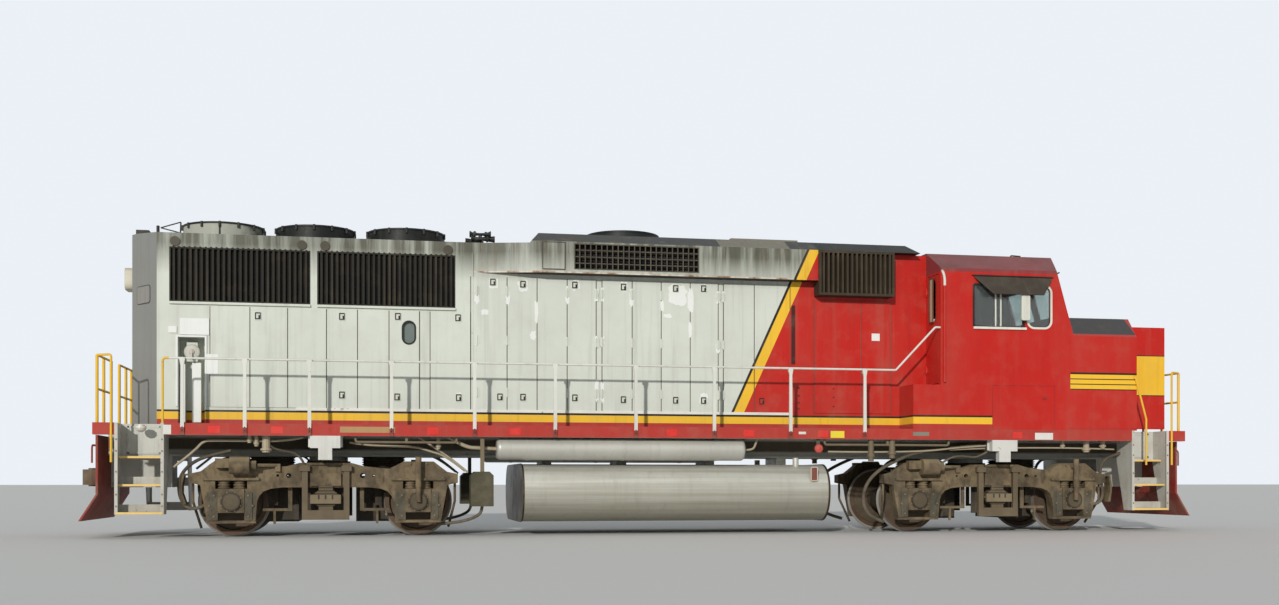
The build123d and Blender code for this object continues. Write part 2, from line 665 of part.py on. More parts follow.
def handrail():
    """Right-hand walkway rail on its posts, with its rise to the cab wall."""
    y = -RAIL_OUT
    line = [
        (RAIL_REAR_END, y, DECK_TOP), (RAIL_REAR_END, y, RAIL_HEIGHT), (RAIL_RISE_START, y, RAIL_HEIGHT),
        (RAIL_RISE_END, y, RAIL_CAB_HEIGHT), (CAB_REAR, y, RAIL_CAB_HEIGHT),
    ]
    foot_y = -PLATFORM_SIDE - POST_HALF
    head = RAIL_HEIGHT + POST_HEAD / 4
    pieces = [tube(line, RAIL_RADIUS, RAIL_BEND)]
    for x in STANCHION_X:
        pieces.append(pressed_post(x, foot_y, POST_FOOT, head))
        pieces.append(block(x - POST_HALF, x + POST_HALF, foot_y, y + POST_HALF,
                            RAIL_HEIGHT - 2 * POST_HEAD, head))
    return fuse(pieces)


def end_rail(end):
    """Rails round one platform end, with a chain gap in the middle, and the stair grab rails."""
    x = end * END_RAIL_X
    top = END_RAIL_HEIGHT
    mid = (END_RAIL_HEIGHT + DECK_TOP) / 2
    outer, _, inner = END_POSTS
    pieces = [upright(x, -y, DECK_TOP, top, END_POST_RADIUS) for y in END_POSTS]
    pieces.append(rod((x, -outer, mid), (x, -inner, mid), RAIL_RADIUS))
    grab_x = end * (STEP_FRONT_EDGE + GRAB_OFFSET)
    grab_y = -PLATFORM_SIDE - RAIL_RADIUS
    grab = [(grab_x, grab_y, GRAB_FOOT), (grab_x, grab_y, top), (x, -outer, top), (x, -inner, top)]
    pieces.append(tube(grab, RAIL_RADIUS, RAIL_BEND))
    return fuse(pieces)


def nose_grab():
    """Bent rail from the front stair up to a lug on the nose's side."""
    x = NOSE_FRONT_SIDE + NOSE_GRAB_OFFSET
    y = -PLATFORM_SIDE - RAIL_RADIUS
    head_x = NOSE_FRONT_SIDE - RAIL_BEND
    rail = tube([(x, y, GRAB_FOOT), (x, y, NOSE_GRAB_KNEE), (head_x, y, NOSE_GRAB_TOP)], RAIL_RADIUS, RAIL_BEND)
    lug = block(head_x - RAIL_RADIUS, head_x + RAIL_RADIUS, y, -CAB_HALF_WIDTH,
                NOSE_GRAB_TOP - NOSE_GRAB_LUG, NOSE_GRAB_TOP)
    return fuse([rail, lug])


# Fuel tank and air reservoirs
def rounded_section(half_width, low, high, low_radius, high_radius, x0, x1):
    face = Plane.YZ * (Pos(0, (low + high) / 2) * Rectangle(2 * half_width, high - low))
    solid = Pos(x0, 0, 0) * extrude(face, amount=x1 - x0, dir=(1, 0, 0))
    edges = solid.edges().filter_by(Axis.X).sort_by(Axis.Z)
    solid = fillet(edges[:2], low_radius)
    edges = solid.edges().filter_by(Axis.X).sort_by(Axis.Z)
    return fillet(edges[-2:], high_radius)


def fuel_tank():
    """Round-sided tank with a rim at each end, its hangers and the filler necks."""
    half = TANK_HALF_LENGTH
    rim = TANK_END_RIM
    pieces = [rounded_section(TANK_HALF_WIDTH, TANK_BOTTOM, TANK_TOP, TANK_LOWER_RADIUS, TANK_UPPER_RADIUS,
                              -half, half)]
    for start in (-half, half - TANK_END_PLATE):
        pieces.append(rounded_section(TANK_HALF_WIDTH + rim, TANK_BOTTOM - rim, TANK_TOP + rim,
                                      TANK_LOWER_RADIUS + rim, TANK_UPPER_RADIUS + rim,
                                      start, start + TANK_END_PLATE))
    for x in (-half * 0.8, -half * 0.3, half * 0.3, half * 0.8):
        pieces.append(block(x - TANK_HANGER_HALF, x + TANK_HANGER_HALF, -CENTRE_SILL_HALF, CENTRE_SILL_HALF,
                            TANK_TOP - rim, CENTRE_SILL_BOTTOM))
    for y in (-FILLER_OUT, FILLER_OUT):
        pieces.append(upright(FILLER_X, y, TANK_TOP - FILLER_HEIGHT, TANK_TOP + FILLER_HEIGHT, FILLER_RADIUS))
    return fuse(pieces)


def air_reservoir():
    y = -RESERVOIR_OUT
    z = RESERVOIR_HEIGHT
    body = rod((RESERVOIR_REAR, y, z), (RESERVOIR_FRONT, y, z), RESERVOIR_RADIUS)
    body = fillet(body.edges().filter_by(GeomType.CIRCLE), RESERVOIR_RADIUS * 0.35)
    pieces = [body]
    for share in (0.12, 0.5, 0.88):
        x = RESERVOIR_REAR + share * (RESERVOIR_FRONT - RESERVOIR_REAR)
        rear = x - RESERVOIR_STRAP
        front = x + RESERVOIR_STRAP
        pieces.append(rod((rear, y, z), (front, y, z), RESERVOIR_RADIUS + RESERVOIR_STRAP_THICK))
        pieces.append(block(rear, front, y, y + RESERVOIR_RADIUS * 0.85, z, DECK_UNDER))
    return fuse(pieces)


# Piping, valves and the sand box under the side sills
def sill_gear():
    """Right-hand pipes along the sill, with their clips and valve bodies hanging from its flange."""
    y = -PIPE_OUT
    bend = 2 * PIPE_RADIUS
    groups = []
    for rear, front in SILL_PIPES:
        parts = [tube([(rear, y, SILL_BOTTOM), (rear, y, PIPE_HEIGHT), (front, y, PIPE_HEIGHT),
                       (front, y, SILL_BOTTOM)], PIPE_RADIUS, bend)]
        middle = (rear + front) / 2
        parts.append(block(middle - PIPE_RADIUS, middle + PIPE_RADIUS, y - PIPE_RADIUS, y + PIPE_RADIUS,
                           PIPE_HEIGHT, SILL_BOTTOM))
        for x, radius, height in VALVES:
            if rear < x < front:
                low = SILL_BOTTOM - height
                parts.append(upright(x, y, low, SILL_BOTTOM, radius))
                parts.append(upright(x, y, low + height * 0.2, low + height * 0.35, radius * 1.35))
        groups.append(fuse(parts))
    rear, front, low, high = SAND_BOX
    box = block(rear, front, -SAND_BOX_OUT, -SAND_BOX_IN, low, high)
    box = chamfer(box.edges().filter_by(Axis.Y).sort_by(Axis.Z)[-2:], SAND_BOX_STRAP * 2)
    middle = (rear + front) / 2
    strap = block(middle - SAND_BOX_STRAP, middle + SAND_BOX_STRAP,
                  -SAND_BOX_OUT, -SAND_BOX_OUT + SAND_BOX_STRAP, high - SAND_BOX_STRAP, SILL_BOTTOM)
    groups.append(box + strap)
    return groups


# Hood sections
def hood_section(half, eaves, crown, crown_half, base):
    return mirrored_points([(half, base), (half, eaves), (crown_half, crown)])


def hood_rear():
    """Radiator section: five-sided in plan, with openings for radiators and fans and the hand-brake niche."""
    base = DECK_TOP
    half = HOOD_HALF_WIDTH
    wall = HOOD_WALL
    plan = [
        (REAR_JOINT, half), (HOOD_REAR, half), (HOOD_TAIL, HOOD_TAIL_HALF),
        (HOOD_TAIL, -HOOD_TAIL_HALF), (HOOD_REAR, -half), (REAR_JOINT, -half),
    ]
    outer = prism_z(plan, base, HOOD_CROWN)
    outer &= prism_x(hood_section(half, HOOD_EAVES, HOOD_CROWN, HOOD_CROWN_HALF, base), HOOD_TAIL, REAR_JOINT)
    inner_half = half - wall
    inner_plan = [
        (REAR_JOINT + 1, inner_half), (HOOD_REAR + wall / 2, inner_half),
        (HOOD_TAIL + wall, HOOD_TAIL_HALF - wall / 2), (HOOD_TAIL + wall, -HOOD_TAIL_HALF + wall / 2),
        (HOOD_REAR + wall / 2, -inner_half), (REAR_JOINT + 1, -inner_half),
    ]
    shell = outer - prism_z(inner_plan, base - 1, HOOD_EAVES - wall)
    cuts = both_sides(rounded_panel(*OVAL_WINDOW, OVAL_RADIUS, -half - 1, -inner_half + 1))
    trims = []
    for rear, front in RADIATORS:
        cuts.append(block(rear, front, -half - 1, half + 1, RADIATOR_BOTTOM, RADIATOR_TOP))
        trims += both_sides(block(rear, front, -half - RADIATOR_LIP, -half,
                                  RADIATOR_BOTTOM - RADIATOR_LIP, RADIATOR_BOTTOM))
    for x in LIFTING_PADS:
        pad = along_y(x, LIFTING_PAD_HEIGHT, -half - LIFTING_PAD_PROUD, -half, LIFTING_PAD_RADIUS)
        trims += both_sides(pad)
    for x in FAN_CENTRES:
        cuts.append(upright(x, 0, HOOD_EAVES - wall - 1, HOOD_CROWN + 1, FAN_BORE))
    niche_rear, niche_front, niche_top = NICHE
    back = -half + NICHE_DEPTH
    cuts.append(block(niche_rear, niche_front, -half - 1, -inner_half + 1, base - 1, niche_top))
    lining = block(niche_rear - wall / 2, niche_front + wall / 2, -half + wall / 2, back + wall / 2,
                   base, niche_top + wall / 2)
    recess = block(niche_rear, niche_front, -half - 1, back, base - 1, niche_top)
    rear, front, low, high = HAND_BRAKE
    brake = block(rear, front, back - HAND_BRAKE_DEPTH, back, low, high)
    return fuse([shell.cut(*cuts), lining - recess, brake] + trims)


def hood_middle():
    wall = HOOD_WALL
    outer = block(REAR_JOINT, MIDDLE_JOINT, -HOOD_HALF_WIDTH, HOOD_HALF_WIDTH, DECK_TOP, HOUSING_BOTTOM)
    inner = block(REAR_JOINT - 1, MIDDLE_JOINT + 1, -HOOD_HALF_WIDTH + wall, HOOD_HALF_WIDTH - wall,
                  DECK_TOP - 1, HOUSING_BOTTOM + 1)
    return outer - inner


def hood_front():
    wall = HOOD_WALL
    outer = block(MIDDLE_JOINT, CAB_REAR, -HOOD_HALF_WIDTH, HOOD_HALF_WIDTH, DECK_TOP, HOUSING_EAVES)
    inner = block(MIDDLE_JOINT - 1, CAB_REAR - wall, -HOOD_HALF_WIDTH + wall, HOOD_HALF_WIDTH - wall,
                  DECK_TOP - 1, HOUSING_EAVES - wall)
    opening = block(FILTER_REAR + wall, FILTER_FRONT - wall, -HOOD_HALF_WIDTH - 1, HOOD_HALF_WIDTH + 1,
                    FILTER_BOTTOM + wall, FILTER_TOP - wall)
    return outer - inner - opening


# Service doors, flat leaves on the hood's sides
def hood_doors():
    doors = []
    face = -HOOD_HALF_WIDTH
    groups = ((REAR_DOORS, REAR_DOOR_TOP), (MIDDLE_DOORS, MIDDLE_DOOR_TOP), (FRONT_DOORS, FRONT_DOOR_TOP))
    for table, top in groups:
        for rear, front in table:
            leaf = block(rear + DOOR_GAP / 2, front - DOOR_GAP / 2, face - DOOR_PROUD, face, DOOR_BOTTOM, top)
            if rear < OVAL_WINDOW[0] and OVAL_WINDOW[1] < front:
                leaf -= rounded_panel(*OVAL_WINDOW, OVAL_RADIUS, face - DOOR_PROUD - 1, face + 1)
            doors += both_sides(leaf)
    return doors


# Radiator grilles: a frame with upright slats, seated in the hood's opening
def slatted_grille(rear, front, low, high, outer, depth, frame):
    pieces = [
        block(rear, front, -outer, -outer + depth, low, low + frame),
        block(rear, front, -outer, -outer + depth, high - frame, high),
        block(rear, rear + frame, -outer, -outer + depth, low + frame, high - frame),
        block(front - frame, front, -outer, -outer + depth, low + frame, high - frame),
    ]
    count = int((front - rear - 2 * frame) / SLAT_PITCH)
    pitch = (front - rear - 2 * frame) / count
    for number in range(count):
        x = rear + frame + (number + 0.5) * pitch
        pieces.append(block(x - SLAT_WIDTH / 2, x + SLAT_WIDTH / 2, -outer, -outer + depth,
                            low + frame, high - frame))
    return fuse(pieces)


def radiator_grilles():
    pieces = []
    for rear, front in RADIATORS:
        pieces += both_sides(slatted_grille(rear, front, RADIATOR_BOTTOM, RADIATOR_TOP, HOOD_HALF_WIDTH,
                                            SLAT_DEPTH, GRILLE_FRAME))
    return pieces


def radiator_cores():
    pieces = []
    inner = HOOD_HALF_WIDTH - HOOD_WALL
    for rear, front in RADIATORS:
        pieces += both_sides(block(rear - CORE_LAP, front + CORE_LAP, -inner, -inner + CORE_DEPTH,
                                   RADIATOR_BOTTOM - CORE_LAP, RADIATOR_TOP + CORE_LAP))
    return pieces


# Roof fans
def fan_cowl(x, roof, seat, top, guard_radius, cowl_radius):
    """Ring on the roof with its wire guard on top, a liner down through the roof, and the motor on arms."""
    bore = FAN_BORE - FAN_LINER
    bar = FAN_GUARD_BAR
    inside = upright(x, 0, seat - FAN_ARM, top + 1, bore)
    ring = upright(x, 0, roof, top - bar, cowl_radius)
    liner = upright(x, 0, seat - FAN_ARM / 2, roof, FAN_BORE - SEAT_GAP)
    guard = upright(x, 0, top - bar, top, guard_radius)
    shell = fuse([ring, liner, guard]) - inside
    middle_ring = upright(x, 0, top - bar, top, FAN_BORE * FAN_GUARD_RING)
    middle_ring -= upright(x, 0, top - 2 * bar, top + 1, FAN_BORE * FAN_GUARD_RING - bar)
    centre = upright(x, 0, top - bar, top, FAN_HUB_RADIUS)
    reach = bore + FAN_LINER / 2
    spokes = []
    for number in range(4):
        spoke = block(-reach, reach, -bar / 2, bar / 2, top - bar, top)
        spokes.append(Pos(x, 0, 0) * Rot(0, 0, 45 * number) * spoke)
    motor_top = seat + FAN_ARM / 2
    motor = upright(x, 0, motor_top - FAN_MOTOR_DEPTH, motor_top, FAN_MOTOR_RADIUS)
    arms = []
    for number in range(2):
        arm = block(-reach, reach, -FAN_ARM / 2, FAN_ARM / 2, seat - FAN_ARM / 2, seat + FAN_ARM / 2)
        arms.append(Pos(x, 0, 0) * Rot(0, 0, 90 * number + 45) * arm)
    return fuse([shell, middle_ring, centre] + spokes + [motor] + arms)


def fan_rotor(x, seat):
    """Hub on the motor's top, with eight pitched blades trimmed to the liner."""
    base = seat + FAN_ARM / 2 + BEARING_GAP
    hub = upright(x, 0, base, base + FAN_HUB_HEIGHT, FAN_HUB_RADIUS)
    tip = FAN_BORE - FAN_LINER - RUNNING_CLEARANCE
    reach = upright(x, 0, base, base + 2 * FAN_BLADE_LIFT, tip)
    pieces = [hub]
    for number in range(FAN_BLADES):
        blade = Rot(FAN_BLADE_ANGLE, 0, 0) * Box(tip, FAN_BLADE_CHORD, FAN_BLADE_THICK)
        blade = Rot(0, 0, 360 / FAN_BLADES * number) * Pos((tip + FAN_HUB_RADIUS) / 2, 0, 0) * blade
        pieces.append((Pos(x, 0, base + FAN_BLADE_LIFT) * blade) & reach)
    return fuse(pieces)


# Dynamic-brake housing
def housing_section(inset):
    return mirrored_points([
        (HOUSING_HALF_WIDTH - inset, HOUSING_BOTTOM), (HOUSING_HALF_WIDTH - inset, HOUSING_EAVES - inset / 2),
        (HOUSING_ROOF_HALF - inset / 2, HOUSING_ROOF - inset),
    ])


def brake_housing():
    """Flared box over the engine hood, with its grille windows, access panels and lower lip."""
    half = HOUSING_HALF_WIDTH
    hood = HOOD_HALF_WIDTH
    wall = HOOD_WALL
    plan = [
        (REAR_JOINT, hood), (HOUSING_FLARE_REAR, hood), (HOUSING_FLARE_FRONT, half), (MIDDLE_JOINT, half),
    ]
    low_roof = [
        (REAR_JOINT, HOUSING_BOTTOM), (MIDDLE_JOINT, HOUSING_BOTTOM), (MIDDLE_JOINT, HOUSING_ROOF),
        (HOUSING_FLARE_FRONT, HOUSING_ROOF), (HOUSING_FLARE_FRONT - HOUSING_STEP, HOOD_EAVES),
        (REAR_JOINT, HOOD_EAVES),
    ]
    outer = prism_z(plan + [(x, -y) for x, y in reversed(plan)], HOUSING_BOTTOM, HOUSING_ROOF)
    outer &= prism_x(housing_section(0), REAR_JOINT, MIDDLE_JOINT)
    outer &= prism_y(low_roof, -half, half)
    rear, front, low, high = BRAKE_GRILLE
    rooms = [
        block(REAR_JOINT - 1, HOUSING_FLARE_FRONT, -hood + wall, hood - wall,
              HOUSING_BOTTOM - 1, HOOD_EAVES - wall),
        block(HOUSING_FLARE_FRONT, MIDDLE_JOINT + 1, -half + wall, half - wall,
              HOUSING_BOTTOM + wall, HOUSING_EAVES - wall),
        block(HOUSING_FLARE_FRONT - 1, MIDDLE_JOINT + 1, -hood + wall, hood - wall,
              HOUSING_BOTTOM - 1, HOUSING_BOTTOM + wall + 1),
        block(rear, front, -half - 1, half + 1, low, high),
        upright(BRAKE_FAN_X, 0, HOUSING_EAVES - wall - 1, HOUSING_ROOF + 1, FAN_BORE),
    ]
    rear, front, low, high = ACCESS_PANEL
    trims = both_sides(block(rear, front, -half - ACCESS_PANEL_PROUD, -half, low, high))
    trims += both_sides(block(HOUSING_FLARE_FRONT, MIDDLE_JOINT, -half - HOUSING_LIP_PROUD, -half,
                              HOUSING_BOTTOM, HOUSING_BOTTOM + HOUSING_LIP))
    return fuse([outer.cut(*rooms)] + trims)


def brake_grilles():
    rear, front, low, high = BRAKE_GRILLE
    bar = BRAKE_GRILLE_BAR
    outer = HOUSING_HALF_WIDTH
    pieces = [
        block(rear, front, -outer, -outer + HOOD_WALL, low, low + bar),
        block(rear, front, -outer, -outer + HOOD_WALL, high - bar, high),
        block(rear, rear + bar, -outer, -outer + HOOD_WALL, low + bar, high - bar),
        block(front - bar, front, -outer, -outer + HOOD_WALL, low + bar, high - bar),
    ]
    pitch = (front - rear) / BRAKE_GRILLE_COLUMNS
    for number in range(1, BRAKE_GRILLE_COLUMNS):
        x = rear + number * pitch
        pieces.append(block(x - bar / 2, x + bar / 2, -outer, -outer + bar, low + bar, high - bar))
    rise = (high - low) / BRAKE_GRILLE_ROWS
    for number in range(1, BRAKE_GRILLE_ROWS):
        z = low + number * rise
        pieces.append(block(rear + bar, front - bar, -outer + bar, -outer + 2 * bar,
                            z - bar / 2, z + bar / 2))
    return both_sides(fuse(pieces))


# Filters and clean-air roof
def filter_grilles():
    body = slatted_grille(FILTER_REAR, FILTER_FRONT, FILTER_BOTTOM, FILTER_TOP, FILTER_HALF_WIDTH,
                          FILTER_HALF_WIDTH - HOOD_HALF_WIDTH, FILTER_FRAME)
    back = block(FILTER_REAR, FILTER_FRONT, -HOOD_HALF_WIDTH - FILTER_BACK, -HOOD_HALF_WIDTH,
                 FILTER_BOTTOM, FILTER_TOP)
    return both_sides(body + back)


def air_roof():
    foot = AIR_ROOF_FRONT + AIR_ROOF_SLOPE
    section = mirrored_points([(HOUSING_HALF_WIDTH, HOUSING_EAVES), (HOUSING_ROOF_HALF, HOUSING_ROOF)])
    slope = [
        (MIDDLE_JOINT, HOUSING_EAVES), (foot, HOUSING_EAVES), (AIR_ROOF_FRONT, HOUSING_ROOF),
        (MIDDLE_JOINT, HOUSING_ROOF),
    ]
    return prism_x(section, MIDDLE_JOINT, foot) & prism_y(slope, -HOUSING_HALF_WIDTH, HOUSING_HALF_WIDTH)


def roof_hatch():
    rear, front = HATCH
    return block(rear, front, -HATCH_HALF, HATCH_HALF, HOUSING_ROOF, HOUSING_ROOF + HATCH_RISE)


def horn():
    """Air horn: four trumpets, two each way, on one seat."""
    half_x, half_y, rise = HORN_SEAT
    pieces = [block(HORN_X - half_x, HORN_X + half_x, -half_y, half_y, HOOD_EAVES, HOOD_EAVES + rise)]
    for y, way, length, lift in TRUMPETS:
        z = HOOD_EAVES + lift
        throat = Plane(origin=(HORN_X, y, z), z_dir=(way, 0, 0))
        pieces.append(throat * extrude(Circle(HORN_THROAT), amount=length, taper=-HORN_FLARE))
        pieces.append(block(HORN_X - HORN_STALK, HORN_X + HORN_STALK, y - HORN_STALK, y + HORN_STALK,
                            HOOD_EAVES + rise / 2, z + HORN_THROAT))
    return fuse(pieces)


# Cab shell, cut into its panels
def screen_plan(z, inset):
    lean = (SCREEN_SIDE_BOTTOM - SCREEN_SIDE_TOP) / (CAB_GUTTER - SCREEN_FOOT)
    side_x = SCREEN_SIDE_TOP + (CAB_GUTTER - z) * lean - inset
    return [
        (CAB_REAR + inset, CAB_HALF_WIDTH - inset), (side_x, CAB_HALF_WIDTH - inset),
        (side_x + SCREEN_SWEEP, CAB_FACET_HALF), (side_x + SCREEN_SWEEP, -CAB_FACET_HALF),
        (side_x, -CAB_HALF_WIDTH + inset), (CAB_REAR + inset, -CAB_HALF_WIDTH + inset),
    ]


def cab_solid(inset, low):
    faces = []
    for z in (low, CAB_ROOF):
        wire = Pos(0, 0, z) * Polyline(*screen_plan(z, inset), close=True)
        faces.append(make_face(wire))
    section = mirrored_points([
        (CAB_HALF_WIDTH - inset, low), (CAB_HALF_WIDTH - inset, CAB_GUTTER - inset / 2),
        (CAB_ROOF_HALF - inset / 2, CAB_ROOF - inset),
    ])
    return loft(faces, ruled=True) & prism_x(section, CAB_REAR, NOSE_FRONT)


def screen_openings():
    near, wide, low, high = SCREEN
    return both_sides(block(SCREEN_SIDE_TOP, NOSE_FRONT, near, wide, low, high))


def cab_panels():
    """The cab's walls and roof, as parts of one shell that meet face to face."""
    far = CAB_HALF_WIDTH + CAB_WALL
    between = CAB_HALF_WIDTH - CAB_WALL
    split = CAB_GUTTER - CAB_WALL
    shell = cab_solid(0, CAB_FLOOR) - cab_solid(CAB_WALL, CAB_FLOOR - 1)
    side = shell & block(CAB_REAR - 1, NOSE_FRONT, -far, -between, CAB_FLOOR - 1, split)
    roof = shell & block(CAB_REAR - 1, NOSE_FRONT, -far, far, split, CAB_ROOF + 1)
    rear = shell & block(CAB_REAR - 1, CAB_REAR + CAB_WALL, -between, between, CAB_FLOOR - 1, split)
    front = shell & block(CAB_REAR + CAB_WALL, NOSE_FRONT, -between, between, CAB_FLOOR - 1, split)
    for rear_x, front_x, sill, head, radius in SIDE_WINDOWS:
        side -= rounded_panel(rear_x, front_x, sill, head, radius, -far, -between + 1)
    passage = block(CAB_REAR + CAB_WALL, NOSE_FRONT, -CAB_FACET_HALF, CAB_FACET_HALF,
                    CAB_FLOOR - 1, NOSE_SIDE_TOP)
    front = front.cut(passage, *screen_openings())
    near, wide, low, high = CAB_DOOR
    doorways = both_sides(block(CAB_REAR - 1, CAB_REAR + CAB_WALL + 1, near, wide, low, high))
    room = HOOD_HALF_WIDTH - HOOD_WALL
    hood_opening = block(CAB_REAR - 1, CAB_REAR + CAB_WALL + 1, -room, room, CAB_FLOOR - 1, CAB_FLOOR)
    rear = rear.cut(hood_opening, *doorways)
    pins = [pin for piece in cab_hinge_pins() for pin in both_sides(piece)]
    return side, roof, fuse([rear] + pins), front


def cab_windows():
    """Glass panes in the middle of each wall's thickness."""
    middle = CAB_HALF_WIDTH - CAB_WALL / 2
    panes = []
    for rear_x, front_x, sill, head, radius in SIDE_WINDOWS:
        panes += both_sides(rounded_panel(rear_x, front_x, sill, head, radius,
                                          -middle - GLASS_THICK / 2, -middle + GLASS_THICK / 2))
    depth = CAB_WALL / 2
    sheet = cab_solid(depth - GLASS_THICK / 2, CAB_FLOOR) - cab_solid(depth + GLASS_THICK / 2, CAB_FLOOR - 1)
    return panes + [sheet & opening for opening in screen_openings()]


def cab_base():
    """Equipment box under the cab floor, which also makes the step at each cab door."""
    side = CAB_HALF_WIDTH
    body = block(CAB_REAR, SCREEN_SIDE_BOTTOM, -side, side, DECK_TOP, CAB_FLOOR)
    landing = block(CAB_BASE_REAR, CAB_REAR, -side, -HOOD_HALF_WIDTH, DECK_TOP, CAB_FLOOR)
    return fuse([body] + both_sides(landing))


def cab_interior():
    """Two seats on pedestals and the control stand, all on the cab floor."""
    cushion = CAB_FLOOR + SEAT_HEIGHT
    back = SEAT_X - SEAT_HALF
    pieces = []
    for y in (-SEAT_OUT, SEAT_OUT):
        pieces.append(fuse([
            upright(SEAT_X, y, CAB_FLOOR, cushion, SEAT_PEDESTAL),
            block(back, SEAT_X + SEAT_HALF, y - SEAT_HALF, y + SEAT_HALF, cushion, cushion + SEAT_CUSHION),
            block(back, back + SEAT_CUSHION, y - SEAT_HALF, y + SEAT_HALF,
                  cushion, cushion + SEAT_CUSHION + SEAT_BACK),
        ]))
    pieces.append(block(*DESK, *DESK_SPAN, CAB_FLOOR, CAB_FLOOR + DESK_HEIGHT))
    return pieces


def window_awning():
    """Swung-out sheet over the side windows, hinged along its top and cut back at its lower corners."""
    y = -CAB_HALF_WIDTH
    top = AWNING_TOP
    foot = top - AWNING_DROP
    thick = AWNING_THICK
    edge = y - AWNING_OUT
    section = [
        (y, top), (y - AWNING_FLANGE, top), (edge - thick, foot + thick / 2), (edge, foot),
        (y - AWNING_FLANGE + thick / 2, top - thick), (y, top - thick),
    ]
    rear = SIDE_WINDOWS[0][0]
    front = SIDE_WINDOWS[1][1]
    rear_cut, front_cut = AWNING_CORNERS
    front_view = [
        (rear, top), (front, top), (front, top - 2 * thick), (front - front_cut, foot),
        (rear + rear_cut, foot), (rear, top - 2 * thick),
    ]
    return prism_x(section, rear, front) & prism_y(front_view, y - 2 * AWNING_OUT, y)


def nose_form(inset, low):
    rear = SCREEN_SIDE_TOP
    plan = [
        (rear, CAB_HALF_WIDTH - inset), (NOSE_FRONT_SIDE - inset, CAB_HALF_WIDTH - inset),
        (NOSE_FRONT - inset, NOSE_ROOF_HALF), (NOSE_FRONT - inset, -NOSE_ROOF_HALF),
        (NOSE_FRONT_SIDE - inset, -CAB_HALF_WIDTH + inset), (rear, -CAB_HALF_WIDTH + inset),
    ]
    section = mirrored_points([
        (CAB_HALF_WIDTH - inset, low), (CAB_HALF_WIDTH - inset, NOSE_SIDE_TOP - inset / 2),
        (NOSE_ROOF_HALF - inset / 2, NOSE_ROOF - inset),
    ])
    return prism_z(plan, low, NOSE_ROOF) & prism_x(section, rear, NOSE_FRONT)


def nose():
    """Nose shell with its doorway, fitted round the foot of the windscreens."""
    y0, y1, low, high = DOORWAY
    side = CAB_HALF_WIDTH + 1
    cuts = [
        nose_form(NOSE_WALL, DECK_TOP - 1), cab_solid(0, CAB_FLOOR),
        block(CAB_REAR, SCREEN_SIDE_BOTTOM, -side, side, DECK_TOP - 1, CAB_FLOOR),
        block(NOSE_FRONT - NOSE_WALL - 1, NOSE_FRONT + 1, y0, y1, low, high),
    ]
    return fuse([nose_form(0, DECK_TOP).cut(*cuts)] + nose_hinge_pins())


def nose_hinge():
    """The door's hinge axis: far enough off the nose for the closed leaf to clear it."""
    edge = DOORWAY[0] - NOSE_DOOR_LAP
    return NOSE_FRONT + DOOR_CLEARANCE + HINGE_KNUCKLE, edge - HINGE_KNUCKLE + HINGE_ROOT


def hinge_heights(low, high):
    return [low + (high - low) * share for share in (0.14, 0.86)]


def nose_door():
    """Door standing open, at right angles to the nose, with its two hinge knuckles."""
    y0, y1, low, high = DOORWAY
    width = y1 - y0 + 2 * NOSE_DOOR_LAP
    x, y = nose_hinge()
    start = x + HINGE_KNUCKLE - HINGE_ROOT
    outer = y + HINGE_KNUCKLE
    pieces = [block(start, start + width, outer - NOSE_DOOR_THICK, outer,
                    low - NOSE_DOOR_LAP, high + NOSE_DOOR_LAP)]
    bores = []
    for z in hinge_heights(low, high):
        pieces.append(upright(x, y, z - HINGE_HEIGHT / 2, z + HINGE_HEIGHT / 2, HINGE_KNUCKLE))
        pieces.append(block(x, start + HINGE_ROOT / 2, y, outer, z - HINGE_HEIGHT / 2, z + HINGE_HEIGHT / 2))
        bores.append(upright(x, y, z - HINGE_HEIGHT, z + HINGE_HEIGHT, HINGE_PIN + HINGE_PIN_GAP))
    return fuse(pieces).cut(*bores)


def nose_hinge_pins():
    """Pins with a lug above and below each knuckle, on the nose's front."""
    x, y = nose_hinge()
    reach = HINGE_HEIGHT / 2 + DOOR_CLEARANCE
    pieces = []
    for z in hinge_heights(DOORWAY[2], DOORWAY[3]):
        pieces.append(upright(x, y, z - reach - HINGE_LUG, z + reach + HINGE_LUG, HINGE_PIN))
        for lug in (z - reach - HINGE_LUG, z + reach):
            pieces.append(block(NOSE_FRONT - NOSE_WALL / 2, x, y - HINGE_PIN, y + HINGE_PIN,
                                lug, lug + HINGE_LUG))
    return pieces


def cab_hinge():
    return CAB_REAR - HINGE_KNUCKLE - HINGE_ROOT / 2, CAB_DOOR[0]


def cab_door():
    """Left-hand rear door of the cab: leaf with its tall window, and knuckles on the walkway side."""
    near, wide, low, high = CAB_DOOR
    gap = CAB_DOOR_GAP
    leaf = block(CAB_REAR, CAB_REAR + CAB_DOOR_THICK, near + gap, wide - gap, low + gap, high - gap)
    margin, foot, head = CAB_DOOR_WINDOW
    pane = wide - near - 2 * margin
    window = RectangleRounded(pane, head - foot, pane / 2 - 1)
    opening = Plane.YZ * (Pos((near + wide) / 2, (foot + head) / 2) * window)
    leaf -= Pos(CAB_REAR - 1, 0, 0) * extrude(opening, amount=CAB_DOOR_THICK + 2, dir=(1, 0, 0))
    x, y = cab_hinge()
    pieces = [leaf]
    bores = []
    for z in hinge_heights(low, high):
        pieces.append(upright(x, y, z - HINGE_HEIGHT / 2, z + HINGE_HEIGHT / 2, HINGE_KNUCKLE))
        pieces.append(block(x - HINGE_ROOT, CAB_REAR + HINGE_ROOT, y + DOOR_CLEARANCE, near + 3 * gap,
                            z - HINGE_HEIGHT / 2, z + HINGE_HEIGHT / 2))
        bores.append(upright(x, y, z - HINGE_HEIGHT, z + HINGE_HEIGHT, HINGE_PIN + HINGE_PIN_GAP))
    return fuse(pieces).cut(*bores)


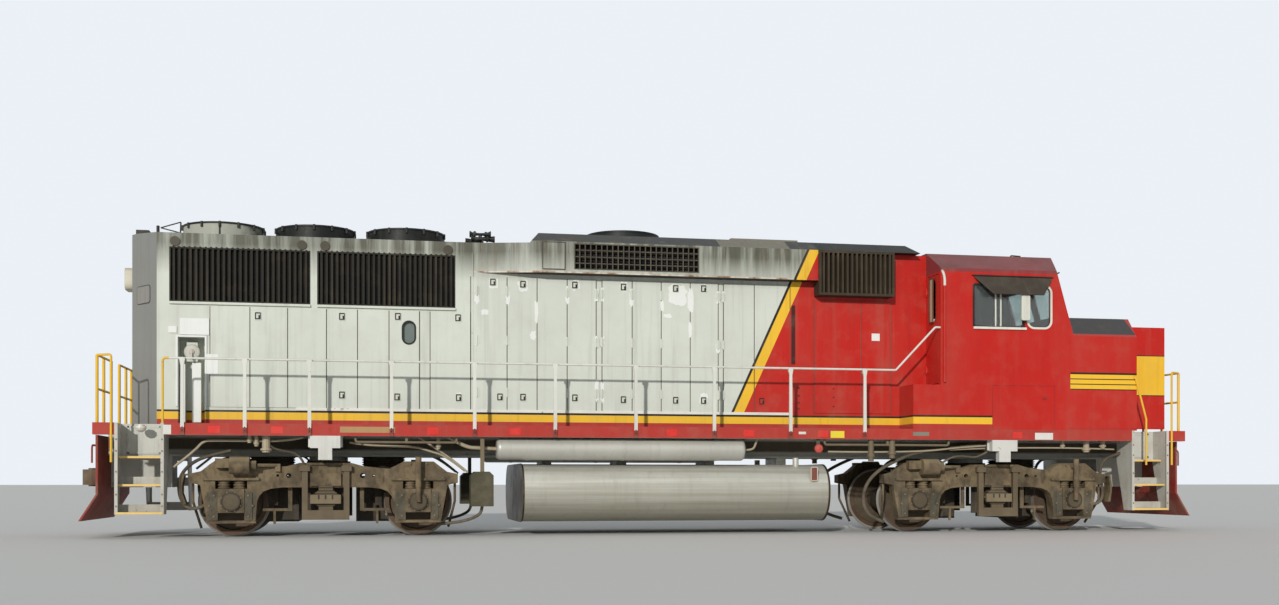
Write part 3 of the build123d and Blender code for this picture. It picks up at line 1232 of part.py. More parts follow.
def cab_hinge_pins():
    x, y = cab_hinge()
    reach = HINGE_HEIGHT / 2 + DOOR_CLEARANCE
    pieces = []
    for z in hinge_heights(CAB_DOOR[2], CAB_DOOR[3]):
        pieces.append(upright(x, y, z - reach - HINGE_LUG, z + reach + HINGE_LUG, HINGE_PIN))
        for lug in (z - reach - HINGE_LUG, z + reach):
            pieces.append(block(x, CAB_REAR + 1, y - 2 * HINGE_PIN, y + HINGE_PIN / 2, lug, lug + HINGE_LUG))
    return pieces


# Lamps
def headlights():
    """Rounded twin-lamp housing on the rear end, and the plain one over the windscreens."""
    half, foot, head, depth = REAR_LAMP
    shape = Plane.YZ * (Pos(0, (foot + head) / 2) * RectangleRounded(2 * half, head - foot, REAR_LAMP_RADIUS))
    rear = Pos(HOOD_TAIL - depth, 0, 0) * extrude(shape, amount=depth, dir=(1, 0, 0))
    half, foot, head, depth = FRONT_LAMP
    front_x = SCREEN_SIDE_TOP + SCREEN_SWEEP
    front = block(front_x - 2 * depth, front_x + depth, -half, half, foot, head)
    return [rear, front - cab_solid(0, CAB_FLOOR)]


# Truck side frames
def frame_outline():
    """Outline of the half ahead of the centre, from the middle of the top round to the middle of the foot."""
    points = list(FRAME_TOP_MIDDLE)
    points += [(AXLE_X + x, z) for x, z in FRAME_TOP_AXLE]
    points += [(AXLE_X + x, z) for x, z in FRAME_LEG_OUTER]
    points += [
        (AXLE_X + PEDESTAL_HALF, PEDESTAL_BOTTOM), (AXLE_X + PEDESTAL_HALF, PEDESTAL_TOP),
        (AXLE_X + SPRING_POCKET_HALF, PEDESTAL_TOP), (AXLE_X + SPRING_POCKET_HALF, SPRING_POCKET_TOP),
        (AXLE_X - SPRING_POCKET_HALF, SPRING_POCKET_TOP), (AXLE_X - SPRING_POCKET_HALF, PEDESTAL_TOP),
        (AXLE_X - PEDESTAL_HALF, PEDESTAL_TOP), (AXLE_X - PEDESTAL_HALF, PEDESTAL_BOTTOM),
    ]
    points += [(AXLE_X + x, z) for x, z in FRAME_LEG_INNER]
    return points + [(FRAME_ARCH_END, FRAME_UNDER), (0.0, FRAME_UNDER)]


def end_guard(way):
    """Curved cover at the frame's outer end."""
    far, low, high, thick = END_GUARD
    near = AXLE_X + FRAME_TOP_AXLE[-1][0]
    middle = (low + high) / 2
    flat = (high - low) / 8
    points = [
        (near, high), (far - thick, high), (far, middle + flat), (far, middle - flat), (far - thick, low),
        (far - 3 * thick, low), (far - thick, middle - flat), (far - thick, middle + flat),
        (far - 2 * thick, high - thick), (near, high - thick),
    ]
    return prism_y([(way * x, z) for x, z in points], -SIDE_FRAME_OUTER, -SIDE_FRAME_INNER)


def sand_pipe(way):
    """Pipe from the frame's end down to the rail in front of the tread."""
    x = way * (AXLE_X + FRAME_TOP_AXLE[-1][0] - 2 * SAND_PIPE_RADIUS)
    y = -SIDE_FRAME_INNER - 3 * SAND_PIPE_RADIUS
    top = FRAME_LEG_OUTER[0][1] + SAND_PIPE_RADIUS
    foot = (x - way * 4 * SAND_PIPE_RADIUS, -(BACK_TO_BACK + TYRE_WIDTH) / 2, SAND_PIPE_FOOT)
    return tube([(x, y, top), (x, y, WHEEL_RADIUS), foot], SAND_PIPE_RADIUS, 3 * SAND_PIPE_RADIUS)


def side_frame(outer_way):
    """One cast side frame: web, ledges, jaw plates, tie bars, sand pipes and the guard at its outer end."""
    right = frame_outline()
    left = [(-x, z) for x, z in reversed(right) if x > 0]
    face = -SIDE_FRAME_OUTER
    web = prism_y(right + left, face, -SIDE_FRAME_INNER)
    holes = []
    for x, radius in FRAME_HOLES:
        for way in (-1, 1):
            holes.append(along_y(way * x, FRAME_HOLE_HEIGHT, face - 1, -SIDE_FRAME_INNER + 1, radius))
    pieces = [web.cut(*holes), end_guard(outer_way)]
    low, high = FRAME_LEDGE
    jaw_width, jaw_low, jaw_high = JAW_PLATE
    reach = PEDESTAL_HALF + TIE_BAR_LAP
    inner = -SIDE_FRAME_INNER - TIE_BAR_INSET
    for way in (-1, 1):
        axle = way * AXLE_X
        pieces.append(block(axle - FRAME_LEDGE_HALF, axle + FRAME_LEDGE_HALF,
                            face - FRAME_LEDGE_PROUD, face, low, high))
        pieces.append(block(axle - reach, axle + reach, face + TIE_BAR_INSET, inner,
                            TIE_BAR_BOTTOM, PEDESTAL_BOTTOM))
        for hand in (-1, 1):
            edge = axle + hand * PEDESTAL_HALF
            pieces.append(block(edge, edge + hand * jaw_width, face - JAW_PLATE_PROUD, face,
                                jaw_low, jaw_high))
        pieces.append(sand_pipe(way))
    return fuse(pieces)


# Truck bolster, bearing boxes and motors
def truck_cross_parts():
    """Transoms between the side frames, and the bolster with its centre bowl."""
    inner = SIDE_FRAME_INNER
    pieces = []
    for x in (-TRANSOM_OFFSET, TRANSOM_OFFSET):
        pieces.append(block(x - TRANSOM_HALF / 2, x + TRANSOM_HALF / 2, -inner, inner, *TRANSOM_HEIGHTS))
    half = TRANSOM_OFFSET - TRANSOM_HALF / 2
    pieces.append(block(-half, half, -inner, inner, *BOLSTER_HEIGHTS))
    bowl_top = CENTRE_PLATE_FACE - CENTRE_PLATE_GAP
    pieces.append(upright(0, 0, BOWL_BOTTOM, bowl_top, CENTRE_PLATE_RADIUS + BOWL_WALL))
    return fuse(pieces)


def truck_bolster_ends():
    """Stepped outer faces of the bolster, seen between the hangers."""
    low, _ = BOLSTER_HEIGHTS
    top = FRAME_TOP_MIDDLE[0][1]
    half = BOLSTER_END_HALF
    face = -SIDE_FRAME_OUTER
    upper = block(-half, half, -BOLSTER_END_OUT + BOLSTER_END_PROUD, face, BOLSTER_END_STEP, top)
    lower = block(-half, half, -BOLSTER_END_OUT, face, low, BOLSTER_END_STEP)
    lip = block(-half, half, -BOLSTER_END_OUT, face, top - BOLSTER_END_PROUD, top)
    return upper + lower + lip


def truck_journals():
    """Four bearing boxes in the pedestals, each with its two coil springs and a round cap."""
    boxes = []
    axle_z = WHEEL_RADIUS
    spring_y = -(SIDE_FRAME_INNER + SIDE_FRAME_OUTER) / 2
    for x in (-AXLE_X, AXLE_X):
        parts = [
            block(x - PEDESTAL_HALF, x + PEDESTAL_HALF, -BOX_OUTER, -SIDE_FRAME_INNER,
                  axle_z - BOX_HALF_HEIGHT, PEDESTAL_TOP),
            along_y(x, axle_z, -BOX_OUTER, -BOX_OUTER - BEARING_RING_DEPTH, BEARING_RING_RADIUS),
            along_y(x, axle_z, -BOX_OUTER, -BOX_OUTER - BEARING_CAP_DEPTH, BEARING_CAP_RADIUS),
        ]
        rise = SPRING_POCKET_TOP - PEDESTAL_TOP
        for offset in (-COIL_OFFSET, COIL_OFFSET):
            parts.append(upright(x + offset, spring_y, PEDESTAL_TOP, SPRING_POCKET_TOP, COIL_RADIUS * 0.8))
            for share in (0.05, 0.4, 0.75):
                low = PEDESTAL_TOP + share * rise
                parts.append(upright(x + offset, spring_y, low, low + rise / 5, COIL_RADIUS))
        bore = along_y(x, axle_z, -AXLE_END - RUNNING_CLEARANCE, -SIDE_FRAME_INNER + 1,
                       JOURNAL_RADIUS + BEARING_GAP)
        boxes.append(fuse(parts) - bore)
    return boxes


def truck_motors():
    """Axle-hung motors between the wheels, each cut away round its axle."""
    motors = []
    half = MOTOR_HALF_WIDTH
    nose_half, nose_low, nose_high = MOTOR_NOSE
    for way in (-1, 1):
        axle_x = way * AXLE_X
        inner = way * (TRANSOM_OFFSET + TRANSOM_HALF / 2)
        body = block(inner + way * MOTOR_GAP, axle_x, -half, half, MOTOR_BOTTOM, MOTOR_TOP)
        boss = along_y(axle_x, WHEEL_RADIUS, -half, half, AXLE_RADIUS + MOTOR_BOSS)
        bore = along_y(axle_x, WHEEL_RADIUS, -half - 1, half + 1, AXLE_RADIUS + RUNNING_CLEARANCE)
        lug = block(inner, inner + way * 2 * MOTOR_GAP, -nose_half, nose_half, nose_low, nose_high)
        motors.append(fuse([body, boss, lug]) - bore)
    return motors


# Brake and spring gear
def spring_gear():
    """Hangers with the spring plank, and the leaf springs that carry the bolster's end."""
    face = -SIDE_FRAME_OUTER
    out = face - HANGER_DEPTH
    low, high = PLANK_HEIGHTS
    block_half, block_low, block_high = HANGER_BLOCK
    pieces = []
    for x in (-HANGER_OFFSET, HANGER_OFFSET):
        pieces.append(block(x - HANGER_HALF, x + HANGER_HALF, out, face, low, HANGER_TOP))
        pieces.append(block(x - block_half, x + block_half, out - HANGER_HALF / 2, face,
                            block_low, block_high))
    reach = HANGER_OFFSET + HANGER_HALF
    plank = block(-reach, reach, out, face, low, high)
    pieces.append(fillet(plank.edges().filter_by(Axis.Y).sort_by(Axis.Z)[:2], HANGER_HALF))
    foot, head = LEAF_HEIGHTS
    thick = (head - foot) / (2 * LEAF_COUNT)
    for number in range(LEAF_COUNT):
        half = LEAF_HALF - LEAF_SHORTENING * (LEAF_COUNT - 1 - number)
        for z in (foot + number * thick, head - (number + 1) * thick):
            pieces.append(block(-half, half, out + HANGER_DEPTH / 2, face + LEAF_DEPTH, z, z + thick))
    seat = LEAF_HALF - LEAF_SHORTENING * LEAF_COUNT
    for z0, z1 in ((high, foot), (head, BOLSTER_HEIGHTS[0])):
        pieces.append(block(-seat, seat, out + HANGER_DEPTH / 2, face, z0, z1))
    return fuse(pieces)


def brake_gear():
    """On the right side: brake cylinder with its piston and rod, damper, safety strap and levers."""
    face = -SIDE_FRAME_OUTER
    rear, front = CYLINDER
    y = face - CYLINDER_RADIUS
    z = CYLINDER_HEIGHT
    foot_rear, foot_front, foot_low, foot_high = CYLINDER_FOOT
    lug_half = 1.5 * PUSH_ROD_RADIUS
    cylinder = [
        rod((rear, y, z), (front, y, z), CYLINDER_RADIUS),
        rod((front, y, z), (PISTON_END, y, z), PISTON_RADIUS),
        rod((PISTON_END, y, z), (PUSH_ROD_END, face - PUSH_ROD_RADIUS, z), PUSH_ROD_RADIUS),
        block(foot_rear, foot_front, y, face, foot_low, foot_high),
        block(rear, front, y, face, z - CYLINDER_RADIUS / 2, z + CYLINDER_RADIUS / 2),
        block(PUSH_ROD_END - lug_half, PUSH_ROD_END + lug_half, face - 2 * PUSH_ROD_RADIUS, face,
              z - PUSH_ROD_LUG, z + PUSH_ROD_RADIUS),
    ]
    cap = BOX_OUTER + BEARING_CAP_DEPTH
    damper_y = -cap - DAMPER_RADIUS - RUNNING_CLEARANCE
    bracket_low = FRAME_TOP_AXLE[1][1] - 2 * DAMPER_RADIUS
    damper = [
        upright(AXLE_X, damper_y, DAMPER_FOOT, DAMPER_TOP, DAMPER_RADIUS),
        upright(AXLE_X, damper_y, DAMPER_FOOT + 220, DAMPER_TOP, DAMPER_RADIUS * 1.2),
        block(AXLE_X - DAMPER_RADIUS, AXLE_X + DAMPER_RADIUS, damper_y, face,
              bracket_low, bracket_low + DAMPER_RADIUS),
        along_y(AXLE_X, DAMPER_FOOT + DAMPER_RADIUS, damper_y, -cap, DAMPER_RADIUS / 2),
    ]
    x0, x1, z0, z1 = STRAP_BAR
    strap = block(x0, x1, face - STRAP_BAR_THICK, face, z0, z1)
    return [fuse(cylinder), fuse(damper), strap]


def brake_levers(way):
    """Lever, bar and pin under the frame's arch, hung from its underside."""
    outer = -SIDE_FRAME_INNER - SHOE_HANGER_HALF
    inner = outer - SHOE_HANGER_HALF
    x0, x1 = LEVER
    bar_x0, bar_x1, bar_low, bar_high = LEVER_BAR
    pin_x0, pin_x1, pin_low = LEVER_PIN
    return fuse([
        block(way * x0, way * x1, inner, outer, bar_low, FRAME_UNDER),
        block(way * bar_x0, way * bar_x1, inner, outer, bar_low, bar_high),
        block(way * pin_x0, way * pin_x1, inner, outer, pin_low, bar_low + 1),
    ])


def brake_shoe(way):
    """Shoe at the inner side of one wheel, with its head and its hanger from the side frame."""
    near = WHEEL_RADIUS + FLANGE_DEPTH + SHOE_GAP
    ring = along_y(0, 0, -SHOE_OUT, -SHOE_IN, near + SHOE_THICK)
    ring -= along_y(0, 0, -SHOE_OUT - 1, -SHOE_IN + 1, near)
    rise = math.tan(math.radians(SHOE_HALF_ANGLE)) * 2 * near
    wedge = prism_y([(0, 0), (-way * 2 * near, -rise), (-way * 2 * near, rise)], -SHOE_OUT, -SHOE_IN)
    shoe = Pos(way * AXLE_X, 0, WHEEL_RADIUS) * (ring & wedge)
    back = way * (AXLE_X - near - SHOE_THICK)
    half = SHOE_HANGER_HALF
    top = TRANSOM_HEIGHTS[0] + half
    return fuse([
        shoe,
        block(back + way * half / 2, back - way * 2 * half, -SHOE_OUT, -SHOE_IN,
              WHEEL_RADIUS - 2 * half, top),
        block(back - way * 2 * half, back, -SIDE_FRAME_INNER, -SHOE_IN, top - 2 * half, top),
    ])


# Wheelsets
def wheelset():
    """Axle and its two wheels, turning about Y at the truck's own origin."""
    radius = WHEEL_RADIUS
    back = BACK_TO_BACK / 2
    hub = AXLE_RADIUS + 55
    plate = hub + 20
    rim = radius - 90
    profile = [
        (0.0, -AXLE_END), (JOURNAL_RADIUS, -AXLE_END), (JOURNAL_RADIUS, -SIDE_FRAME_INNER + 20),
        (AXLE_RADIUS, -SIDE_FRAME_INNER + 40), (AXLE_RADIUS, -back - TYRE_WIDTH - 30),
        (hub, -back - TYRE_WIDTH - 30), (plate, -back - 90), (rim, -back - 80),
        (rim + 15, -back - TYRE_WIDTH), (radius - 8, -back - TYRE_WIDTH), (radius, -back - FLANGE_WIDTH - 12),
        (radius + FLANGE_DEPTH, -back - FLANGE_WIDTH + 12), (radius + FLANGE_DEPTH, -back - 8),
        (radius + FLANGE_DEPTH / 2, -back), (rim + 15, -back), (rim, -back - 50),
        (plate, -back - 40), (hub, -back + 30), (AXLE_RADIUS, -back + 30),
    ]
    outline = profile + [(r, -y) for r, y in reversed(profile)]
    face = make_face(Polyline(*outline, close=True))
    return Pos(0, 0, radius) * revolve(face, axis=Axis.Y)


save("underframe", [underframe()])
save("pilots", [pilot(-1), pilot(1)])
save("coupler_front", [coupler(1)])
save("coupler_rear", [coupler(-1)])
save("steps", both_sides(steps(-1)) + both_sides(steps(1)))
save("handrails", both_sides(handrail()))
save("end_rails", both_sides(end_rail(-1)) + both_sides(end_rail(1)) + both_sides(nose_grab()))
save("fuel_tank", [fuel_tank()])
save("air_reservoirs", both_sides(air_reservoir()))
save("sill_gear", [piece for group in sill_gear() for piece in both_sides(group)])
save("engine_block", [block(ENGINE_REAR, ENGINE_FRONT, -ENGINE_HALF_WIDTH, ENGINE_HALF_WIDTH,
                            DECK_TOP, ENGINE_TOP)])
save("hood_rear", [hood_rear()])
save("hood_middle", [hood_middle()])
save("hood_front", [hood_front()])
save("hood_doors", hood_doors())
save("radiator_grilles", radiator_grilles())
save("radiator_cores", radiator_cores())
save("fan_cowls", [fan_cowl(x, HOOD_CROWN, HOOD_CROWN, HOOD_CROWN + FAN_RISE,
                            FAN_GUARD_RADIUS, FAN_COWL_RADIUS) for x in FAN_CENTRES])
save("brake_fan_cowl", [fan_cowl(BRAKE_FAN_X, HOUSING_ROOF, BRAKE_FAN_SEAT, BRAKE_FAN_TOP,
                                 FAN_COWL_RADIUS, FAN_BORE + FAN_GUARD_BAR)])
for number, x in enumerate(FAN_CENTRES):
    save("fan_rotor_%d" % (number + 1), [fan_rotor(x, HOOD_CROWN)])
save("brake_fan_rotor", [fan_rotor(BRAKE_FAN_X, BRAKE_FAN_SEAT)])
save("brake_housing", [brake_housing()])
save("brake_grilles", brake_grilles())
save("filter_grilles", filter_grilles())
save("air_roof", [air_roof()])
save("roof_hatch", [roof_hatch()])
save("horn", [horn()])
right_side, cab_roof, cab_rear, cab_front = cab_panels()
save("cab_side_right", [right_side])
save("cab_side_left", [mirror(right_side, about=Plane.XZ)])
save("cab_roof", [cab_roof])
save("cab_rear", [cab_rear])
save("cab_front", [cab_front])
save("cab_base", [cab_base()])
save("cab_windows", cab_windows())
save("cab_interior", cab_interior())
save("window_awnings", both_sides(window_awning()))
save("nose", [nose()])
save("nose_door", [nose_door()])
save("cab_door_right", [mirror(cab_door(), about=Plane.XZ)])
save("cab_door_left", [cab_door()])
save("headlights", headlights())
for name, way in (("rear", -1), ("front", 1)):
    place = Pos(way * TRUCK_CENTRES / 2, 0, 0)
    save("truck_%s_side_frames" % name, [place * piece for piece in both_sides(side_frame(way))])
    cross_parts = [truck_cross_parts()] + both_sides(truck_bolster_ends())
    save("truck_%s_bolster" % name, [place * piece for piece in cross_parts])
    journals = [half for box in truck_journals() for half in both_sides(box)]
    save("truck_%s_journals" % name, [place * piece for piece in journals])
    save("truck_%s_motors" % name, [place * piece for piece in truck_motors()])
    brakes = brake_gear() + [brake_levers(-1), brake_levers(1), brake_shoe(-1), brake_shoe(1)]
    save("truck_%s_brakes" % name, [place * half for piece in brakes for half in both_sides(piece)])
    save("truck_%s_springs" % name, [place * piece for piece in both_sides(spring_gear())])
axles = [way * TRUCK_CENTRES / 2 + side * AXLE_X for way in (-1, 1) for side in (-1, 1)]
for number, x in enumerate(axles):
    save("wheelset_%d" % (number + 1), [Pos(x, 0, 0) * wheelset()])
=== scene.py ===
import bpy
import bmesh
import math
import random
from mathutils import Matrix, Vector


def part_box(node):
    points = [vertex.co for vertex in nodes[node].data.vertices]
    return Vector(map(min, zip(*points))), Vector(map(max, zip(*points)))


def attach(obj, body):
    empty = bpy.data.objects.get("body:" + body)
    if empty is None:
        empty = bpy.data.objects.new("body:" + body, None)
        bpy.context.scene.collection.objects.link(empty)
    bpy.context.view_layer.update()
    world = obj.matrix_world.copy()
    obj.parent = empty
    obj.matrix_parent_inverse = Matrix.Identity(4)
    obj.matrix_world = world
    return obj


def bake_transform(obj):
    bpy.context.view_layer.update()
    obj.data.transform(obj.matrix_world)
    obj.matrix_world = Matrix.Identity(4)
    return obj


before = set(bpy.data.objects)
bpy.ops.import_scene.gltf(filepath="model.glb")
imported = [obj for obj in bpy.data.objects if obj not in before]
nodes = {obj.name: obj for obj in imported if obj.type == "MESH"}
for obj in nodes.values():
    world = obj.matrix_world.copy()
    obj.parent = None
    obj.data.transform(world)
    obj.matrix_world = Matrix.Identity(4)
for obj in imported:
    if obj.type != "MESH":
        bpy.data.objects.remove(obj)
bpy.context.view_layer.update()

# Floor, light and camera
# A pale studio floor under the wheel flanges, a low warm sun from the rear right and an even sky.
# The camera stands low beside the right-hand side and is turned a little towards the cab.
CAMERA_PLACE = (-4.67, -22.01, 0.828)
CAMERA_YAW = 11.04
CAMERA_FOCUS_PIXELS = 1347.0
PHOTO_WIDTH = 1279.0
PHOTO_HEIGHT = 605.0
HORIZON_ROW = 482.1
SENSOR_WIDTH = 36.0
FLOOR_REACH = 400.0
FLOOR_COLOUR = (0.66, 0.66, 0.64, 1.0)
FLOOR_ROUGH = 0.9
SUN_WAY = (-0.40, -0.87, 0.31)
SUN_STRENGTH = 2.5
SUN_SPREAD = 1.6
SUN_COLOUR = (1.0, 0.97, 0.92)
SKY_COLOUR = (0.90, 0.95, 1.0, 1.0)
SKY_STRENGTH = 0.38
BACKDROP_STRENGTH = 0.92


def feed(tree, fed, inputs):
    """Links or sets a node's inputs, given by name or number."""
    for socket, value in inputs.items():
        if isinstance(value, bpy.types.NodeSocket):
            tree.links.new(value, fed.inputs[socket])
        else:
            fed.inputs[socket].default_value = value


def node(tree, kind, inputs, **settings):
    """A new shader node."""
    made = tree.nodes.new("ShaderNode" + kind)
    for name, value in settings.items():
        setattr(made, name, value)
    feed(tree, made, inputs)
    return made


def tint(red, green, blue):
    """A colour as it looks on a screen, from 0 to 255, for a shader."""
    values = []
    for level in (red, green, blue):
        share = level / 255
        values.append(share / 12.92 if share < 0.04045 else ((share + 0.055) / 1.055) ** 2.4)
    return (*values, 1.0)


def added(name, data):
    """A new object in the scene."""
    made = bpy.data.objects.new(name, data)
    bpy.context.collection.objects.link(made)
    return made


world = bpy.data.worlds.new("studio")
world.use_nodes = True
bpy.context.scene.world = world
sky = world.node_tree
# The camera, a reflection and a view through glass meet a brighter sky than the one that lights the pieces.
rays = node(sky, "LightPath", {})
seen = 0.0
for ray in ("Is Camera Ray", "Is Glossy Ray", "Is Transmission Ray"):
    seen = node(sky, "Math", {0: seen, 1: rays.outputs[ray]}, operation="MAXIMUM").outputs[0]
strength = node(sky, "MapRange", {"Value": seen, "To Min": SKY_STRENGTH, "To Max": BACKDROP_STRENGTH})
feed(sky, sky.nodes["Background"], {"Color": SKY_COLOUR, "Strength": strength.outputs["Result"]})

sun_lamp = bpy.data.lights.new("sun", "SUN")
sun_lamp.energy = SUN_STRENGTH
sun_lamp.angle = math.radians(SUN_SPREAD)
sun_lamp.color = SUN_COLOUR
sun = added("sun", sun_lamp)
sun.rotation_euler = Vector(SUN_WAY).to_track_quat("Z", "Y").to_euler()

floor_mesh = bpy.data.meshes.new("floor")
corners = [(x * FLOOR_REACH, y * FLOOR_REACH, 0) for x, y in ((-1, -1), (1, -1), (1, 1), (-1, 1))]
floor_mesh.from_pydata(corners, [], [(0, 1, 2, 3)])
floor = added("floor", floor_mesh)
floor_paint = bpy.data.materials.new("floor_paint")
floor_paint.use_nodes = True
feed(floor_paint.node_tree, floor_paint.node_tree.nodes["Principled BSDF"],
     {"Base Color": FLOOR_COLOUR, "Roughness": FLOOR_ROUGH})
floor_mesh.materials.append(floor_paint)

lens = bpy.data.cameras.new("camera")
lens.sensor_width = SENSOR_WIDTH
lens.lens = CAMERA_FOCUS_PIXELS / PHOTO_WIDTH * SENSOR_WIDTH
lens.shift_y = (HORIZON_ROW - PHOTO_HEIGHT / 2) / PHOTO_WIDTH
lens.clip_end = 2 * FLOOR_REACH
camera = added("camera", lens)
camera.location = CAMERA_PLACE
camera.rotation_euler = (math.radians(90), 0, math.radians(-CAMERA_YAW))
bpy.context.scene.camera = camera
bpy.context.scene.view_settings.view_transform = "Standard"

# Underframe
# The welded frame that carries everything: side sills, centre sill, deck and the four jacking pads.
# Its outer faces are red paint gone dull with dust, its pads white, its inner beams grey under grime, paler
# low down as painted sunlight on the lower flanges and darker above with grime and painted shade under the
# sill.
# Heights in this script are over the rail, whose top lies RAIL_TOP over the frame's ground.
RAIL_TOP = 0.028
SILL_RED = tint(178, 52, 44)
GRIME = tint(56, 48, 40)
DUST = tint(150, 138, 118)
RUST = tint(112, 66, 42)
PAD_WHITE = tint(216, 216, 210)
# The beams' pale grey is painted sunlight on their lower flanges; their dark is grime and painted shade under
# the sill
BEAM_LIT_GREY = tint(196, 196, 188)
BEAM_SHADE_GRIME = tint(84, 76, 62)
DECK_GREY = tint(84, 84, 80)
BEAM_LOW = 1.30
SILL_LOW = 1.487
SILL_OUT = 1.5
PAD_NEAR = 1.38
DECK_LEVEL = 1.66
PLATFORM_ENDS = (8.672, 8.676)
EVEN = (1.0, 1.0, 1.0)
# Layers of weather: lumps per metre, where the noise starts and is full, then its stretch and detail
TONE = (0.8, 0.38, 0.72)
BLOTCH = (3.4, 0.5, 0.75, EVEN, 8.0)
RUN = (1.0, 0.53, 0.78, (11.0, 11.0, 0.45), 6.0)
WASH = (1.0, 0.55, 0.7, (5.0, 5.0, 0.25), 4.0)
ROAD_DUST = (1.7, 0.3, 0.62)
ROAD_DUST_FALL = (2.572, 0.272)
SOOT = (1.1, 0.2, 0.6)
SOOT_SLOPE = (0.25, 0.9)
FLAKES = (9.0, 0.66, 0.69, EVEN, 9.0)
NOISE_ROUGH = 0.6
SHEEN = 0.25
BUMP_DEPTH = 0.004


class Coat:
    """A new material's nodes, and the places that its colour is worked out from: along (x), across (y),
    over the rail (z), out from the middle (out) and how far the surface faces up (up)."""

    def __init__(self, name):
        self.material = bpy.data.materials.new(name)
        self.material.use_nodes = True
        self.tree = self.material.node_tree
        self.point = node(self.tree, "TexCoord", {}).outputs["Object"]
        self.x, self.y, height = node(self.tree, "SeparateXYZ", {0: self.point}).outputs
        self.z = self.less(height, RAIL_TOP)
        self.out = self.maths("ABSOLUTE", self.y)
        normal = node(self.tree, "NewGeometry", {}).outputs["Normal"]
        self.up = node(self.tree, "SeparateXYZ", {0: normal}).outputs[2]

    def maths(self, operation, first, second=0.0):
        return node(self.tree, "Math", {0: first, 1: second}, operation=operation).outputs[0]

    def times(self, first, second):
        return self.maths("MULTIPLY", first, second)

    def less(self, first, second):
        return self.maths("SUBTRACT", first, second)

    def reach(self, along, rise):
        """Distance from a centre, from the distances along and up."""
        return self.maths("SQRT", self.maths("ADD", self.times(along, along), self.times(rise, rise)))

    def mix(self, share, first, second):
        return node(self.tree, "Mix", {0: share, 6: first, 7: second}, data_type="RGBA").outputs[2]

    def ramp(self, value, low, high):
        """Zero where the value is at low, one where it is at high."""
        return node(self.tree, "MapRange",
                    {"Value": value, "From Min": low, "From Max": high}).outputs["Result"]

    def past(self, value, place):
        """One where the value is over the place, with a thin soft edge."""
        return self.ramp(value, place - 0.002, place + 0.002)

    def between(self, value, low, high, edge=0.004):
        """One where the value lies between low and high, with a thin soft edge."""
        return self.times(self.ramp(value, low - edge, low + edge),
                          self.ramp(value, high + edge, high - edge))

    def cloud(self, lumps, stretch=EVEN, detail=5.0):
        """Noise with the given lumps per metre."""
        place = node(self.tree, "Mapping", {"Vector": self.point, "Scale": stretch}).outputs[0]
        return node(self.tree, "TexNoise", {"Vector": place, "Scale": lumps, "Detail": detail,
                                            "Roughness": NOISE_ROUGH}).outputs["Fac"]

    def stain(self, lumps, start, full, stretch=EVEN, detail=5.0):
        """Patches that begin where the noise passes start."""
        return self.ramp(self.cloud(lumps, stretch, detail), start, full)

    def made(self, inputs):
        """The material, once its surface is fed."""
        feed(self.tree, self.tree.nodes["Principled BSDF"], inputs)
        return self.material


def weathered(name, colour, grime=0.35, streaks=0.35, low_dust=0.35, settled=0.35, chips=0.0, rough=0.5,
              metal=0.0, relief=0.25, grain=38.0):
    """A painted or bare metal finish with tone, rain streaks, road dust, settled soot and rust chips."""
    at = Coat(name)
    base = colour(at) if callable(colour) else colour
    blotch = at.stain(*BLOTCH)
    layers = [(at.stain(*TONE), grime * 0.4, GRIME), (blotch, grime * 0.5, DUST),
              (at.stain(*RUN), streaks, GRIME), (at.stain(*WASH), streaks * 0.5, DUST),
              (at.times(at.ramp(at.z, *ROAD_DUST_FALL), at.stain(*ROAD_DUST)), low_dust, DUST),
              (at.times(at.ramp(at.up, *SOOT_SLOPE), at.stain(*SOOT)), settled, GRIME)]
    if chips:
        layers.append((at.stain(*FLAKES), chips, RUST))
    for where, amount, paint in layers:
        base = at.mix(at.times(where, amount), base, paint)
    fine = at.cloud(grain, detail=3.0)
    gloss = node(at.tree, "MapRange", {"Value": at.maths("ADD", at.times(fine, 0.5), at.times(blotch, 0.5)),
                                       "To Min": rough - 0.1, "To Max": min(rough + 0.25, 1.0)})
    bump = node(at.tree, "Bump", {"Strength": relief, "Distance": BUMP_DEPTH,
                                  "Height": at.maths("ADD", fine, at.cloud(4.0, detail=2.0))})
    return at.made({"Base Color": base, "Metallic": metal, "Specular IOR Level": SHEEN,
                    "Roughness": gloss.outputs["Result"], "Normal": bump.outputs["Normal"]})


def finish(material, *names):
    """Gives pieces of the frame their material."""
    for name in names:
        nodes[name].data.materials.clear()
        nodes[name].data.materials.append(material)


def underframe_colour(at):
    # Below BEAM_LOW the beams are painted pale as painted sunlight; above it they are dark with grime and
    # painted shade under the sill
    colour = at.mix(at.between(at.z, BEAM_LOW, SILL_LOW - 0.001, 0.02), BEAM_LIT_GREY, BEAM_SHADE_GRIME)
    colour = at.mix(at.ramp(at.out, SILL_OUT - 0.005, SILL_OUT), colour, SILL_RED)
    colour = at.mix(at.ramp(at.maths("ABSOLUTE", at.x), *PLATFORM_ENDS), colour, SILL_RED)
    pads = at.times(at.ramp(at.out, PAD_NEAR, PAD_NEAR + 0.01),
                    at.ramp(at.z, SILL_LOW + 0.001, SILL_LOW - 0.001))
    colour = at.mix(pads, colour, PAD_WHITE)
    return at.mix(at.ramp(at.z, DECK_LEVEL - 0.003, DECK_LEVEL - 0.001), colour, DECK_GREY)


finish(weathered("sill_paint", underframe_colour, grime=0.3, streaks=0.18, low_dust=0.12, settled=0.55,
                 chips=0.35, rough=0.6), "underframe")

# Plates along the sill
# Bright red reflectors, blank label plates in white, yellow and grey and one scuffed tan patch.
# They are thin pressed sheet or film on the sill's outer face; every one is left blank.
REFLECTORS = (-7.00, -6.11, -3.84, -2.60, -0.158, 1.084, 2.302, 5.64)
REFLECTOR_HALF = 0.085
REFLECTOR_SPAN = (1.518, 1.622)
